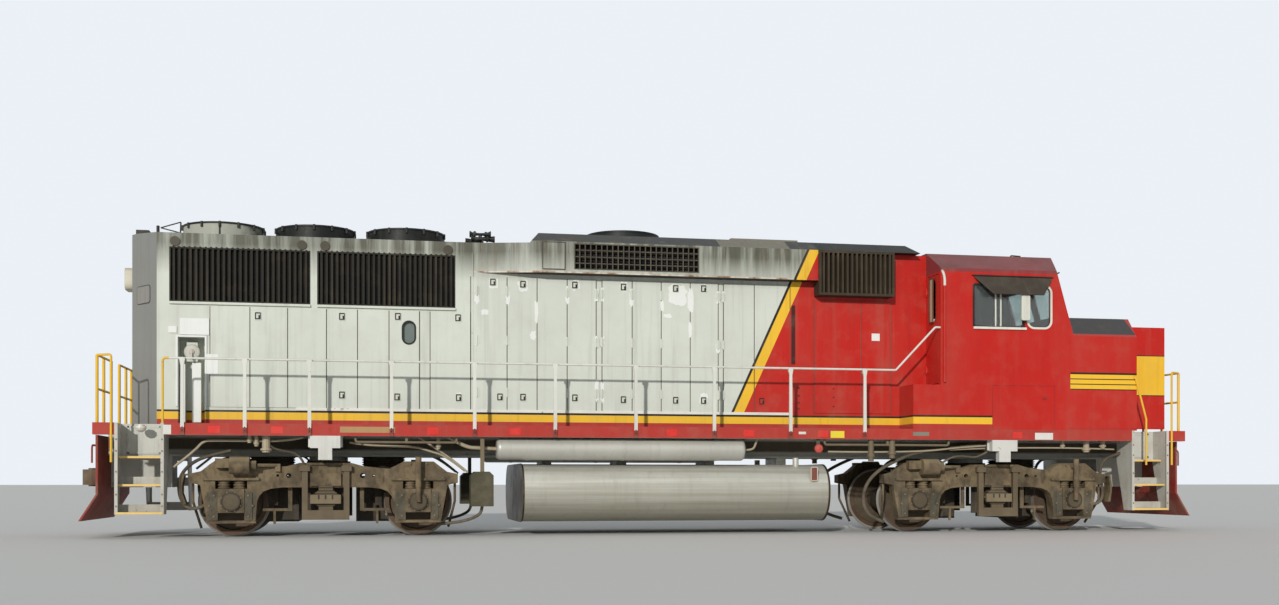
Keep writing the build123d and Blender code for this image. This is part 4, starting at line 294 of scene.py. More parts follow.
# Plates: name, colour, then the rear edge, front edge, foot and head of each
SILL_PLATES = (
    ("white", tint(226, 226, 220), ((5.95, 6.271, 1.498, 1.61), (-7.71, -7.599, 1.495, 1.632),
                                    (1.90, 2.02, 1.56, 1.60))),
    ("yellow", tint(232, 212, 60), ((2.43, 2.66, 1.505, 1.615),)),
    ("grey", tint(132, 126, 116), ((3.823, 4.10, 1.545, 1.61),)),
    ("tan", tint(176, 138, 96), ((-5.205, -4.40, 1.535, 1.625),)),
)
PLATE_PROUD = 0.003


def slab(mesh, x_span, y_span, z_span):
    """A box between three pairs of numbers."""
    corners = [mesh.verts.new((x, y, z)) for x in x_span for y in y_span for z in z_span]
    for order in ((0, 1, 3, 2), (4, 6, 7, 5), (0, 4, 5, 1), (2, 3, 7, 6), (0, 2, 6, 4), (1, 5, 7, 3)):
        mesh.faces.new([corners[index] for index in order])


def plates(rows, face, proud, mesh=None):
    """Thin plates on a side face, each with its rear edge, front edge, foot and head."""
    mesh = mesh or bmesh.new()
    for rear, front, low, high in rows:
        slab(mesh, (rear, front), (face, face + proud), (low, high))
    return mesh


def mirrored(mesh):
    """Adds the right side to what a mesh holds on the left."""
    bmesh.ops.mirror(mesh, geom=[*mesh.verts, *mesh.edges, *mesh.faces], axis="Y")


def shown(name, mesh, material, outward=True):
    """A new object of a mesh, lifted from the rail's height into the frame, its faces turned outward."""
    bmesh.ops.translate(mesh, vec=(0, 0, RAIL_TOP), verts=mesh.verts)
    if outward:
        bmesh.ops.recalc_face_normals(mesh, faces=mesh.faces)
    data = bpy.data.meshes.new(name)
    mesh.to_mesh(data)
    mesh.free()
    data.materials.append(material)
    return added(name, data)


def piece(name, mesh, material, soften=0.0, body="root", spread="both"):
    """A named piece on a body. Its mesh is built on the left and serves both sides, or one of them."""
    if spread == "both":
        mirrored(mesh)
    elif spread == "right":
        bmesh.ops.scale(mesh, vec=(1, -1, 1), verts=mesh.verts)
    made = shown(name, mesh, material)
    if soften:
        edge = made.modifiers.new("soft_edges", "BEVEL")
        edge.width = soften
        edge.segments = 2
        edge.limit_method = "ANGLE"
    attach(made, body)


platform_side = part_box("underframe")[1].y
piece("sill_reflectors",
      plates([(x - REFLECTOR_HALF, x + REFLECTOR_HALF, *REFLECTOR_SPAN) for x in REFLECTORS], platform_side,
             PLATE_PROUD),
      weathered("reflector_film", tint(222, 44, 40), grime=0.3, streaks=0.2, low_dust=0.2, rough=0.3),
      0.001)
for name, colour, rows in SILL_PLATES:
    piece("sill_plates_" + name, plates(rows, platform_side, PLATE_PROUD),
          weathered("sill_plate_" + name, colour, grime=0.3, streaks=0.15, low_dust=0.15, chips=0.3),
          0.001)

# Pilots
# Steel end plates with a turned-out foot, red on the outside and dull with brake dust.
# They are welded under the ends of the platform, round the coupler's pocket.
finish(weathered("pilot_paint", tint(150, 44, 38), grime=0.5, streaks=0.5, low_dust=0.35, chips=0.6,
                 rough=0.65), "pilots")

# Steps
# Folded side plates with three treads at each corner, white, worn and dusty.
# Each tread's outer edge carries a yellow nosing, and a grey locker door closes the back of the well.
STEP_WHITE = tint(208, 208, 200)
NOSING_YELLOW = tint(240, 204, 122)
TREAD_TOPS = (0.363, 0.768, 1.178)
TREAD_SETBACK = 0.11
NOSING_DEPTH = 0.03
NOSING_THICK = 0.03
NOSING_PROUD = 0.004
STEP_EDGES = (7.7, 8.38)
STEP_SIDE = 0.016
WELL_BACK = 1.064
WELL_DOOR = (7.80, 8.28, 1.215, 1.63)
WELL_DOOR_THICK = 0.012
WELL_FRAME = 0.03
STEP_BOLTS = (0.45, 0.62, 0.95, 1.25, 1.42)
STEP_BOLT_INSET = 0.025
BOLT_RADIUS = 0.013
BOLT_HEAD = 0.006
SUNK = 0.002


def peg(mesh, start, end, radius, sides=12):
    """A round bar from one point to another."""
    start = Vector(start)
    along = Vector(end) - start
    turn = along.to_track_quat("Z", "Y").to_matrix().to_4x4()
    bmesh.ops.create_cone(mesh, cap_ends=True, segments=sides, radius1=radius, radius2=radius,
                          depth=along.length, matrix=Matrix.Translation(start + along / 2) @ turn)


def stud(mesh, x, y_span, z, radius, sides=6):
    """A bolt head or a round stud that stands out from a side face."""
    peg(mesh, (x, y_span[0], z), (x, y_span[1], z), radius, sides)


def rim(rear, front, low, high, wide):
    """The strips just inside a plate's head, rear, front and foot."""
    return ((rear, front, high - wide, high), (rear, rear + wide, low, high),
            (front - wide, front, low, high), (rear, front, low, low + wide))


finish(weathered("step_paint", STEP_WHITE, grime=0.5, streaks=0.3, low_dust=0.5, settled=0.6, chips=0.5,
                 rough=0.6), "steps")
nosings, well_doors, step_bolts = bmesh.new(), bmesh.new(), bmesh.new()
for end in (-1, 1):
    near, far = sorted((end * STEP_EDGES[0], end * STEP_EDGES[1]))
    for number, top in enumerate(TREAD_TOPS):
        edge = platform_side - number * TREAD_SETBACK
        slab(nosings, (near + STEP_SIDE, far - STEP_SIDE), (edge - NOSING_DEPTH, edge + NOSING_PROUD),
             (top - NOSING_THICK, top + SUNK))
    door = (*sorted((end * WELL_DOOR[0], end * WELL_DOOR[1])), *WELL_DOOR[2:])
    plates([door], WELL_BACK, WELL_DOOR_THICK, well_doors)
    plates(rim(*door, WELL_FRAME), WELL_BACK + WELL_DOOR_THICK, BOLT_HEAD, well_doors)
    for z in STEP_BOLTS:
        for x in (near + STEP_BOLT_INSET, far - STEP_BOLT_INSET):
            stud(step_bolts, x, (platform_side - SUNK, platform_side + BOLT_HEAD), z, BOLT_RADIUS)
piece("tread_nosings", nosings,
      weathered("nosing_paint", NOSING_YELLOW, grime=0.25, streaks=0.1, low_dust=0.1,
                settled=0.0, chips=0.3), 0.003)
piece("step_well_doors", well_doors,
      weathered("well_door_paint", tint(206, 208, 200), grime=0.5, streaks=0.3), 0.003)
piece("step_bolts", step_bolts, weathered("bolt_steel", tint(120, 112, 98), grime=0.5, chips=0.5))

# Lamp in the rear step well
# A small domed marker lamp of pale glass in a cast ring, bolted to the underside of the rear platform.
# Lathe-turned forms are given by rings: distance along the way they face, and radius.
WELL_LAMP_PLACE = (-8.05, 1.30, 1.64)
WELL_LAMP_RINGS = ((0.0, 0.05), (0.016, 0.052), (0.02, 0.075), (0.05, 0.08), (0.085, 0.062), (0.105, 0.03),
                   (0.112, 0.0))
RING_LEAST = 0.0005


def lofted(mesh, rings, looped=False):
    """Skins rings of equally many points, and caps both ends or joins the last ring to the first."""
    loops = [[mesh.verts.new(point) for point in ring] for ring in rings]
    if looped:
        loops.append(loops[0])
    else:
        mesh.faces.new(loops[0])
        mesh.faces.new(loops[-1])
    for first, second in zip(loops, loops[1:]):
        for number in range(len(first)):
            mesh.faces.new((first[number - 1], first[number], second[number], second[number - 1]))


def turned(mesh, rings, place, way, sides=20):
    """A lathe-turned form that faces a way."""
    turn = Vector(way).to_track_quat("Z", "Y").to_matrix()
    angles = [2 * math.pi * number / sides for number in range(sides)]
    lofted(mesh, [[Vector(place) + turn @ Vector((max(radius, RING_LEAST) * math.cos(angle),
                                                  max(radius, RING_LEAST) * math.sin(angle), height))
                   for angle in angles] for height, radius in rings])


well_lamps = bmesh.new()
turned(well_lamps, WELL_LAMP_RINGS, WELL_LAMP_PLACE, (0, 0, -1))
piece("step_well_lamps", well_lamps, weathered("lamp_dome", tint(222, 220, 208), grime=0.3, rough=0.3))

# Handrails
# White tube rails on pressed posts, each bolted to the sill at its foot; the rearmost length is yellow.
# The paint is worn through at the hand's height and dusty below, and the posts' feet are red.
RAIL_WHITE = tint(220, 220, 212)
RAIL_YELLOW = tint(236, 188, 56)
YELLOW_TO = -7.62
POST_RED = tint(134, 46, 40)
POST_RED_TO = 1.60
POST_PLACES = (-7.443, -6.567, -5.646, -4.452, -3.215, -1.988, -0.731, 0.519, 1.764, 3.0)
FOOT_HEIGHT = 0.075
FOOT_HALF = 0.03
FOOT_PROUD = 0.018
FOOT_BOLTS = (1.555, 1.6)


def handrail_colour(at):
    colour = at.mix(at.ramp(at.x, YELLOW_TO - 0.02, YELLOW_TO), RAIL_YELLOW, RAIL_WHITE)
    return at.mix(at.ramp(at.z, POST_RED_TO, POST_RED_TO - 0.004), colour, POST_RED)


finish(weathered("handrail_paint", handrail_colour, grime=0.3, streaks=0.25, low_dust=0.25, settled=0.15,
                 chips=0.5), "handrails")
finish(weathered("end_rail_paint", RAIL_YELLOW, grime=0.25, streaks=0.15, low_dust=0.2, settled=0.15,
                 chips=0.5), "end_rails")
rail_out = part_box("handrails")[1].y
feet = plates([(x - FOOT_HALF, x + FOOT_HALF, SILL_LOW, SILL_LOW + FOOT_HEIGHT) for x in POST_PLACES],
              platform_side, FOOT_PROUD)
for x in POST_PLACES:
    for z in FOOT_BOLTS:
        stud(feet, x, (rail_out - 0.004, rail_out), z, BOLT_RADIUS)
piece("post_feet", feet, weathered("post_foot_paint", tint(138, 54, 48), grime=0.5, chips=0.4),
      0.003)

# Hood, doors and cab
# Sheet-steel hood sections and the cab in one two-colour coat: faded silver behind, red in front.
# A straight slanted stripe, black and yellow, parts the two, and a yellow band runs along the foot.
SILVER = tint(210, 215, 204)
SILVER_SOOTY = tint(92, 92, 80)
BODY_RED = tint(190, 32, 24)
RED_FADED = tint(186, 52, 42)
STRIPE_YELLOW = tint(240, 190, 54)
STRIPE_BLACK = tint(34, 30, 26)
ROOF_SOOT = tint(26, 31, 30)
ROOF_ROSE = tint(140, 58, 60)
BARE_ROOF = tint(124, 121, 106)
TAIL_SHADE_GREY = tint(132, 132, 128)
STRIPE_FOOT = (0.95, 1.93)
STRIPE_LEAN = 0.46
STRIPE_YELLOW_FROM = 0.045
STRIPE_RED_FROM = 0.215
BAND_BASE = 1.0
BAND_LOW = 1.744
BAND_HIGH = 1.856
BAND_LINE = 1.886
BAND_FRONT = 5.2
TAIL_FROM = -7.885
EAVES = 4.56
BARS_SPAN = (6.585, 7.80)
BARS_LOW = 2.345
BARS_HIGH = 2.6
BAR_LINE = 0.016
BARS_OUT = (1.505, 1.51)
LIFTING_PADS = (-7.627, -5.784, -5.443, -3.584)
LIFTING_PAD_HEIGHT = 4.402
LIFTING_PAD_RADIUS = 0.074
LIFTING_PAD_OUT = (0.931, 0.933)
SOOT_SPAN = (3.922, 4.392)
BARE_ROOF_SPAN = (0.72, 1.88)
LIP_HEIGHTS = (4.06, 4.09)
LIP_FRONT = (1.9, 1.85)


def livery(at):
    """Silver, slanted stripe, red, the band along the foot and the bars of the nose, sooty at the eaves, with
    painted shade on the tail's slanted facets.
    """
    sooty = at.times(at.ramp(at.z, *SOOT_SPAN), at.stain(1.0, 0.12, 0.55, (7.0, 7.0, 0.5), 6.0))
    colour = at.mix(sooty, SILVER, SILVER_SOOTY)
    # The tail's slanted facets are painted grey as painted shade
    colour = at.mix(at.ramp(at.x, TAIL_FROM, TAIL_FROM - 0.01), colour, TAIL_SHADE_GREY)
    red = at.mix(at.stain(0.7, 0.42, 0.68, (2.5, 2.5, 0.8)), BODY_RED, RED_FADED)
    foot_x, foot_z = STRIPE_FOOT
    along = at.less(at.less(at.x, at.times(at.less(at.z, foot_z), STRIPE_LEAN)), foot_x)
    for start, paint in ((0.0, STRIPE_BLACK), (STRIPE_YELLOW_FROM, STRIPE_YELLOW), (STRIPE_RED_FROM, red)):
        colour = at.mix(at.past(along, start), colour, paint)
    band = at.times(at.ramp(at.x, BAND_FRONT + 0.002, BAND_FRONT - 0.002),
                    at.ramp(at.x, TAIL_FROM - 0.01, TAIL_FROM))
    bars = at.times(at.between(at.x, *BARS_SPAN), at.ramp(at.out, *BARS_OUT))
    zones = [(BAND_BASE, BAND_LOW, band, SILL_RED), (BAND_LOW, BAND_HIGH, band, STRIPE_YELLOW),
             (BAND_HIGH, BAND_LINE, band, STRIPE_BLACK),
             (BARS_LOW - BAR_LINE, BARS_HIGH + BAR_LINE, bars, STRIPE_BLACK)]
    rise = (BARS_HIGH - BARS_LOW) / 3
    for number in range(3):
        low = BARS_LOW + number * rise
        zones.append((low, low + rise - BAR_LINE, bars, STRIPE_YELLOW))
    for low, high, where, paint in zones:
        colour = at.mix(at.times(at.between(at.z, low, high, 0.002), where), colour, paint)
    return colour


def rear_colour(at):
    """The livery with the sooty lifting pads above the radiators."""
    colour = livery(at)
    rise = at.less(at.z, LIFTING_PAD_HEIGHT)
    proud = at.ramp(at.out, *LIFTING_PAD_OUT)
    for place in LIFTING_PADS:
        reach = at.reach(at.less(at.x, place), rise)
        pad = at.times(at.ramp(reach, LIFTING_PAD_RADIUS + 0.004, LIFTING_PAD_RADIUS), proud)
        colour = at.mix(pad, colour, tint(74, 68, 56))
    return colour


def housing_colour(at):
    """The livery with a rusty lip, a partly bare roof and painted shade on its underside."""
    lip = at.times(at.between(at.z, *LIP_HEIGHTS, 0.002), at.ramp(at.x, *LIP_FRONT))
    rust = at.stain(6.0, 0.45, 0.62, (1.0, 1.0, 0.3))
    colour = at.mix(lip, livery(at), at.mix(rust, tint(216, 208, 192), tint(150, 108, 78)))
    roof = at.mix(at.between(at.x, *BARE_ROOF_SPAN), ROOF_SOOT, BARE_ROOF)
    colour = at.mix(at.past(at.z, EAVES), colour, roof)
    # Faces turned downward are painted dark as painted shade under the flare
    return at.mix(at.ramp(at.up, -0.3, -0.7), colour, tint(34, 31, 28))


HOOD_WEAR = {"grime": 0.25, "streaks": 0.22, "low_dust": 0.15, "settled": 0.8, "rough": 0.42}
finish(weathered("hood_paint", livery, **HOOD_WEAR), "hood_middle", "hood_front")
finish(weathered("hood_rear_paint", rear_colour, **HOOD_WEAR), "hood_rear")
finish(weathered("hood_door_paint", livery, grime=0.24, streaks=0.2, low_dust=0.15, rough=0.42), "hood_doors")
finish(weathered("housing_paint", housing_colour, grime=0.45, streaks=0.4, low_dust=0.1, settled=0.3),
       "brake_housing")
finish(weathered("air_roof_paint", ROOF_SOOT, grime=0.15, streaks=0.1, settled=0.2, rough=0.6), "air_roof")
finish(weathered("hatch_paint", tint(128, 125, 110), grime=0.3, streaks=0.2, settled=0.5), "roof_hatch")
finish(weathered("cab_paint", livery, grime=0.16, streaks=0.1, low_dust=0.1, settled=0.5, rough=0.36),
       "cab_side_right", "cab_side_left", "cab_rear", "cab_front", "cab_base", "cab_door_right",
       "cab_door_left")
finish(weathered("cab_roof_paint", ROOF_ROSE, grime=0.3, streaks=0.2, settled=0.5), "cab_roof")

# Door seals
# Dark rubber strips lie between the doors' edges, with rust below the hinges.
# They are nailed to the hood's posts, a little below the doors' faces.
DOOR_LOW = 1.93
# Seams: head of the doors, then each seam
SEAM_ROWS = (
    (3.44, (-7.126, -6.547, -5.995, -5.421, -4.958, -4.484, -4.022, -3.860, -3.235)),
    (4.00,
     (-3.235, -2.669, -2.198, -1.722, -1.259, -1.165, -0.679, -0.206, 0.270, 0.733, 0.820, 1.335, 1.940)),
    (3.77, (2.350, 3.154, 3.666)),
)
SEAL_HALF = 0.005
door_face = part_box("hood_doors")[1].y
hood_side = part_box("hood_middle")[1].y
seals = [(x - SEAL_HALF, x + SEAL_HALF, DOOR_LOW, head) for head, seams in SEAM_ROWS for x in seams]
piece("door_seals", plates(seals, hood_side, door_face - 0.003 - hood_side),
      weathered("seal_rubber", tint(92, 84, 72), grime=0.5, streaks=0.5))

# Touched-up paint
# Brushed patches of fresh white round latches and hinges on the silver doors, thicker than the old coat.
# A few patches and blank white plates stand beside the hand-brake niche.
# Patches: centre along the hood, height, half width, half height
PATCHES = (
    (-3.14, 3.71, 0.04, 0.14), (-3.14, 3.0, 0.035, 0.08), (-2.88, 3.90, 0.08, 0.08),
    (-2.66, 3.70, 0.035, 0.16), (-2.42, 3.87, 0.085, 0.10), (-2.21, 3.45, 0.03, 0.20),
    (-2.26, 3.10, 0.05, 0.08), (-1.72, 3.75, 0.035, 0.14), (-1.72, 3.01, 0.03, 0.08),
    (-1.59, 3.91, 0.07, 0.09), (-1.25, 3.76, 0.035, 0.12), (-1.16, 3.77, 0.035, 0.12),
    (-1.25, 3.02, 0.035, 0.10), (-1.16, 3.02, 0.035, 0.09), (-1.25, 2.25, 0.035, 0.20),
    (-1.16, 2.22, 0.035, 0.18), (-0.82, 3.90, 0.07, 0.09), (-0.69, 3.74, 0.035, 0.15),
    (-0.19, 3.62, 0.03, 0.10), (0.05, 3.80, 0.17, 0.20), (0.275, 3.72, 0.05, 0.20), (0.27, 3.25, 0.03, 0.14),
    (0.49, 3.91, 0.06, 0.08), (0.735, 3.78, 0.04, 0.11), (0.82, 3.78, 0.035, 0.10), (0.73, 2.95, 0.045, 0.08),
    (0.49, 2.13, 0.07, 0.10), (-3.42, 2.13, 0.05, 0.07), (-3.02, 3.45, 0.06, 0.05),
    (-0.10, 3.46, 0.07, 0.035),
)
NICHE_PLATES = ((-7.556, -7.136, 3.006, 3.255), (-7.72, -7.60, 3.03, 3.13), (-7.17, -7.01, 2.42, 2.72))
NICHE_PLATE_PROUD = 0.016
PATCH_PROUD = 0.0012
PATCH_CORNERS = 22
PATCH_RAGGED = (0.72, 1.08)
PATCH_SQUARE = -0.7
patch_draws = random.Random(7)


def prism(mesh, outline, y_span):
    """A flat plate with the given outline along X and Z, between two places across the frame."""
    lofted(mesh, [[(x, y, z) for x, z in outline] for y in y_span])


def rounded(spans, radius, steps=6):
    """Outline of a plate with round corners, from its rear edge, front edge, foot and head."""
    rear, front, low, high = spans
    points = []
    for x, z, start in ((front - radius, high - radius, 0), (rear + radius, high - radius, 90),
                        (rear + radius, low + radius, 180), (front - radius, low + radius, 270)):
        for number in range(steps + 1):
            angle = math.radians(start + 90 * number / steps)
            points.append((x + radius * math.cos(angle), z + radius * math.sin(angle)))
    return points


patches = bmesh.new()
for x, z, wide, tall in PATCHES:
    shape = []
    for number in range(PATCH_CORNERS):
        angle = 2 * math.pi * number / PATCH_CORNERS
        squared = max(abs(math.cos(angle)), abs(math.sin(angle))) ** PATCH_SQUARE
        reach = squared * patch_draws.uniform(*PATCH_RAGGED)
        shape.append((x + wide * reach * math.cos(angle), z + tall * reach * math.sin(angle)))
    prism(patches, shape, (door_face, door_face + PATCH_PROUD))
patch_white = weathered("patch_white", tint(232, 234, 230), grime=0.15, streaks=0.1, low_dust=0.0)
piece("touched_up_patches", patches, patch_white)
piece("niche_plates", plates(NICHE_PLATES, hood_side, NICHE_PLATE_PROUD), patch_white, 0.002,
      spread="right")

# Radiator grilles
# Upright slats pressed from sheet, set in the hood's openings and black-brown with oil and dust.
# The cores behind them are matt black; round rivet heads stand above each slat.
RADIATORS = ((-7.71, -5.66), (-5.56, -3.47))
RIVET_HEIGHT = 4.315
RIVET_COUNT = 26
RIVET_INSET = 0.06
RIVET_RADIUS = 0.018
slat_paint = weathered("slat_paint", tint(34, 32, 25), grime=0.2, streaks=0.2, low_dust=0.0, settled=0.2,
                       rough=0.7)
finish(slat_paint, "radiator_grilles")
finish(weathered("core_paint", tint(18, 17, 15), grime=0.2, streaks=0.1, rough=0.9), "radiator_cores")
rivets = bmesh.new()
for rear, front in RADIATORS:
    for number in range(RIVET_COUNT):
        x = rear + RIVET_INSET + (front - rear - 2 * RIVET_INSET) * number / (RIVET_COUNT - 1)
        stud(rivets, x, (hood_side - SUNK, hood_side + BOLT_HEAD), RIVET_HEIGHT, RIVET_RADIUS, 10)
piece("radiator_rivets", rivets, slat_paint)

# Hand-brake niche
# A recess in the rear hood on the right, framed in white strip, with the brake's pale ratchet box.
# Two folded guards stand below the box, with the chain's dark way between them.
NICHE = (-7.585, -7.20, 2.97)
NICHE_RIM = 0.03
NICHE_RIM_PROUD = 0.018
# Guards: rear edge, front edge, foot, head
NICHE_GUARDS = ((-7.572, -7.50, 1.70, 2.58), (-7.40, -7.27, 1.70, 2.60))
NICHE_GUARD_OUT = 0.70
NICHE_GUARD_DEEP = 0.10
RATCHET_PLACE = (-7.40, 0.80, 2.76)
RATCHET_RINGS = ((0.0, 0.105), (0.012, 0.115), (0.03, 0.115), (0.042, 0.095), (0.05, 0.04), (0.075, 0.034),
                 (0.078, 0.0))
# Lever on the ratchet box: half width, nearest and furthest from the box's back, drop, rise
RATCHET_LEVER = (0.012, 0.065, 0.09, 0.14, 0.02)
rear, front, head = NICHE
niche_strips = plates(((rear - NICHE_RIM, rear, DOOR_LOW, head + NICHE_RIM),
                       (front, front + NICHE_RIM, DOOR_LOW, head + NICHE_RIM),
                       (rear, front, head, head + NICHE_RIM)), hood_side, NICHE_RIM_PROUD)
plates(NICHE_GUARDS, NICHE_GUARD_OUT, NICHE_GUARD_DEEP, niche_strips)
piece("niche_frame", niche_strips, patch_white, 0.004, spread="right")
ratchet = bmesh.new()
turned(ratchet, RATCHET_RINGS, RATCHET_PLACE, (0, 1, 0), 28)
x, out, z = RATCHET_PLACE
half, near, far, drop, rise = RATCHET_LEVER
slab(ratchet, (x - half, x + half), (out + near, out + far), (z - drop, z + rise))
piece("hand_brake_ratchet", ratchet, weathered("ratchet_paint", tint(210, 208, 198), grime=0.5, streaks=0.4,
                                               chips=0.5), 0.003, spread="right")

# Oval window
# A dusty pane in a dark rubber ring, in the door beside the radiator joint, for reading the water gauge.
# The ring is pressed over the door's edge and stands out on both its faces.
OVAL = (-4.27, -4.095, 2.94, 3.27)
OVAL_RING = 0.022
OVAL_PANE_OUT = (0.9, 0.906)


def grown(spans, by):
    """Rear edge, front edge, foot and head, each moved outwards."""
    rear, front, low, high = spans
    return rear - by, front + by, low - by, high + by


def hoop(mesh, spans, outer, inner, y_span):
    """A flat frame round a plate; outer and inner each say how far out a line is and its corners' radius."""
    near, far = y_span
    lines = [rounded(grown(spans, by), radius) for by, radius in (outer, inner)]
    course = ((0, near), (1, near), (1, far), (0, far))
    lofted(mesh, [[(x, y, z) for x, z in lines[line]] for line, y in course], looped=True)


oval_panes, oval_rings = bmesh.new(), bmesh.new()
half = (OVAL[1] - OVAL[0]) / 2
prism(oval_panes, rounded(grown(OVAL, 0.002), half), OVAL_PANE_OUT)
hoop(oval_rings, OVAL, (OVAL_RING, half + OVAL_RING), (-0.004, half - 0.004),
     (door_face - 0.01, door_face + 0.01))
piece("oval_panes", oval_panes,
      weathered("gauge_pane", tint(112, 124, 120), grime=0.4, streaks=0.3, rough=0.25))
rubber = weathered("window_rubber", tint(30, 32, 30), grime=0.3, streaks=0.1, rough=0.6)
piece("oval_rings", oval_rings, rubber, 0.003)

# Tail of the hood
# The slanted rear corners carry a blank outlined plate; the roof above has an aerial bracket and a stub.
# The lamp casting in the tail's middle is finished with the headlights.
TAIL_CORNER = (-7.88, 0.93, 0)
TAIL_END = (-8.34, 0.30, 0)
TAIL_PLATE_SHARE = (0.27, 0.80)
TAIL_PLATE_HEIGHTS = (3.49, 3.77)
TAIL_PLATE_ROUND = 0.05
TAIL_RIM = 0.014
# Stubs: start, end, radius
ROOF_STUBS = (((-8.01, 0, 4.57), (-8.01, 0, 4.79), 0.025), ((-7.68, 0, 4.56), (-7.67, 0, 4.858), 0.012),
              ((-7.67, 0, 4.858), (-7.97, 0, 4.76), 0.010), ((-7.97, 0, 4.76), (-7.68, 0, 4.69), 0.010))
ROOF_BOX = ((-8.32, -8.128), (-0.10, 0.10), (4.57, 4.70))
slope = Vector(TAIL_END) - Vector(TAIL_CORNER)
way = slope.normalized()
turn = Matrix((way, (way.y, -way.x, 0), (0, 0, 1))).transposed().to_4x4()
spans = (slope.length * TAIL_PLATE_SHARE[0], slope.length * TAIL_PLATE_SHARE[1], *TAIL_PLATE_HEIGHTS)
for name, by, proud, paint, slot in (
        ("tail_plate_rims", 0.0, 0.004, weathered("plate_rim", tint(60, 58, 54), grime=0.3), "grille_dark"),
        ("tail_plates", -TAIL_RIM, 0.007,
         weathered("plate_grey", tint(142, 140, 134), grime=0.4, streaks=0.3), "hood_silver")):
    tail = bmesh.new()
    prism(tail, rounded(grown(spans, by), TAIL_PLATE_ROUND + by), (-SUNK, proud))
    bmesh.ops.transform(tail, matrix=Matrix.Translation(TAIL_CORNER) @ turn, verts=tail.verts)
    piece(name, tail, paint)
roof_stubs = bmesh.new()
for start, end, radius in ROOF_STUBS:
    peg(roof_stubs, start, end, radius, 10)
slab(roof_stubs, *ROOF_BOX)
dark_steel = weathered("dark_steel", tint(52, 52, 48), grime=0.4, streaks=0.2, rough=0.6)
piece("roof_aerial_bracket", roof_stubs, dark_steel, 0.003, spread="middle")

# Roof fans
# Flanged rings with a wire guard, bolted over the radiators; the rear one is bare metal, the others black.
# The rotors under them are dull black cast blades, and small tabs hold each guard down.
FAN_CENTRES = (-7.02, -5.62, -4.21)
FAN_PALE = tint(168, 170, 158)
FAN_BLACK = tint(20, 24, 22)
FIRST_FAN_FRONT = -6.3
FAN_STAIN_SPAN = (-7.0, -6.5)
FAN_SEAM_HALF = 0.015
FAN_GUARD_LOW = 4.75
FAN_GUARD_RADIUS = 0.622
FAN_TABS = 14
FAN_TAB_SPAN = (4.70, 4.785)
FAN_TAB_RADIUS = 0.02


def cowl_colour(at):
    stain = at.times(at.stain(2.6, 0.42, 0.6), at.ramp(at.x, *FAN_STAIN_SPAN))
    pale = at.mix(stain, FAN_PALE, FAN_BLACK)
    pale = at.mix(at.between(at.x, FAN_CENTRES[0] - FAN_SEAM_HALF, FAN_CENTRES[0] + FAN_SEAM_HALF), pale,
                  FAN_BLACK)
    ring = at.less(1.0, at.past(at.z, FAN_GUARD_LOW))
    return at.mix(at.times(at.ramp(at.x, FIRST_FAN_FRONT, FIRST_FAN_FRONT - 0.01), ring), FAN_BLACK, pale)


finish(weathered("cowl_paint", cowl_colour, grime=0.12, streaks=0.1, settled=0.3), "fan_cowls")
finish(weathered("rotor_paint", tint(48, 50, 48), grime=0.4, rough=0.6), "fan_rotor_1", "fan_rotor_2",
       "fan_rotor_3", "brake_fan_rotor")
finish(weathered("brake_cowl_paint", ROOF_SOOT, grime=0.12, streaks=0.1), "brake_fan_cowl")
fan_tabs = bmesh.new()
for centre in FAN_CENTRES:
    for number in range(FAN_TABS):
        angle = 2 * math.pi * (number + 0.5) / FAN_TABS
        x = centre + FAN_GUARD_RADIUS * math.cos(angle)
        y = FAN_GUARD_RADIUS * math.sin(angle)
        peg(fan_tabs, (x, y, FAN_TAB_SPAN[0]), (x, y, FAN_TAB_SPAN[1]), FAN_TAB_RADIUS, 8)
piece("fan_guard_tabs", fan_tabs, dark_steel, 0.003, spread="middle")

# Brake and filter grilles, horn and engine
# The brake grid shows through a welded lattice, pale with dust over dark resistor banks.
# The filter boxes beside the cab are brown-black pressed slats; the horn's brass trumpets are painted black.
BRAKE_OPENING = (-1.62, 0.35, 4.14, 4.52)
RESISTOR_ROWS = 9
RESISTOR_HALF = 0.015
RESISTOR_OUT = 1.02
RESISTOR_DEEP = 0.03
RESISTOR_BACK = 0.02
# Trumpets: middle along the roof, place across, height, way it faces
TRUMPETS = ((-3.05, -0.24, 4.79, 1), (-3.01, -0.10, 4.81, -1), (-3.05, 0.06, 4.78, 1),
            (-3.0, -0.30, 4.70, -1))
TRUMPET_RINGS = ((-0.10, 0.022), (-0.09, 0.045), (-0.06, 0.048), (-0.05, 0.022), (0.0, 0.018), (0.08, 0.022),
                 (0.14, 0.034), (0.175, 0.052), (0.185, 0.054), (0.175, 0.044), (0.12, 0.018), (0.10, 0.0))
TRUMPET_FOOT = 4.60
TRUMPET_STEM = 0.014
ACCESS_PANEL = (-2.13, -1.79, 4.125, 4.535)
ACCESS_FACE = 1.16
finish(weathered("lattice_paint", tint(82, 78, 68), grime=0.4, streaks=0.4, rough=0.7, chips=0.4),
       "brake_grilles")
finish(weathered("filter_paint", tint(60, 51, 38), grime=0.25, streaks=0.3, settled=0.3, rough=0.75),
       "filter_grilles")
finish(weathered("horn_paint", tint(30, 34, 34), grime=0.3), "horn")
finish(weathered("engine_paint", tint(92, 96, 94), grime=0.8, streaks=0.5, rough=0.6), "engine_block")
trumpets = bmesh.new()
for x, y, z, way in TRUMPETS:
    turned(trumpets, TRUMPET_RINGS, (x, y, z), (way, 0, 0), 18)
    peg(trumpets, (x, y, TRUMPET_FOOT), (x, y, z), TRUMPET_STEM, 8)
piece("horn_trumpets", trumpets, weathered("trumpet_paint", tint(34, 38, 38), grime=0.3, rough=0.45),
      spread="middle")
panel_edges = bmesh.new()
hoop(panel_edges, ACCESS_PANEL, (0.012, 0.01), (-0.002, 0.004), (ACCESS_FACE - 0.012, ACCESS_FACE + 0.002))
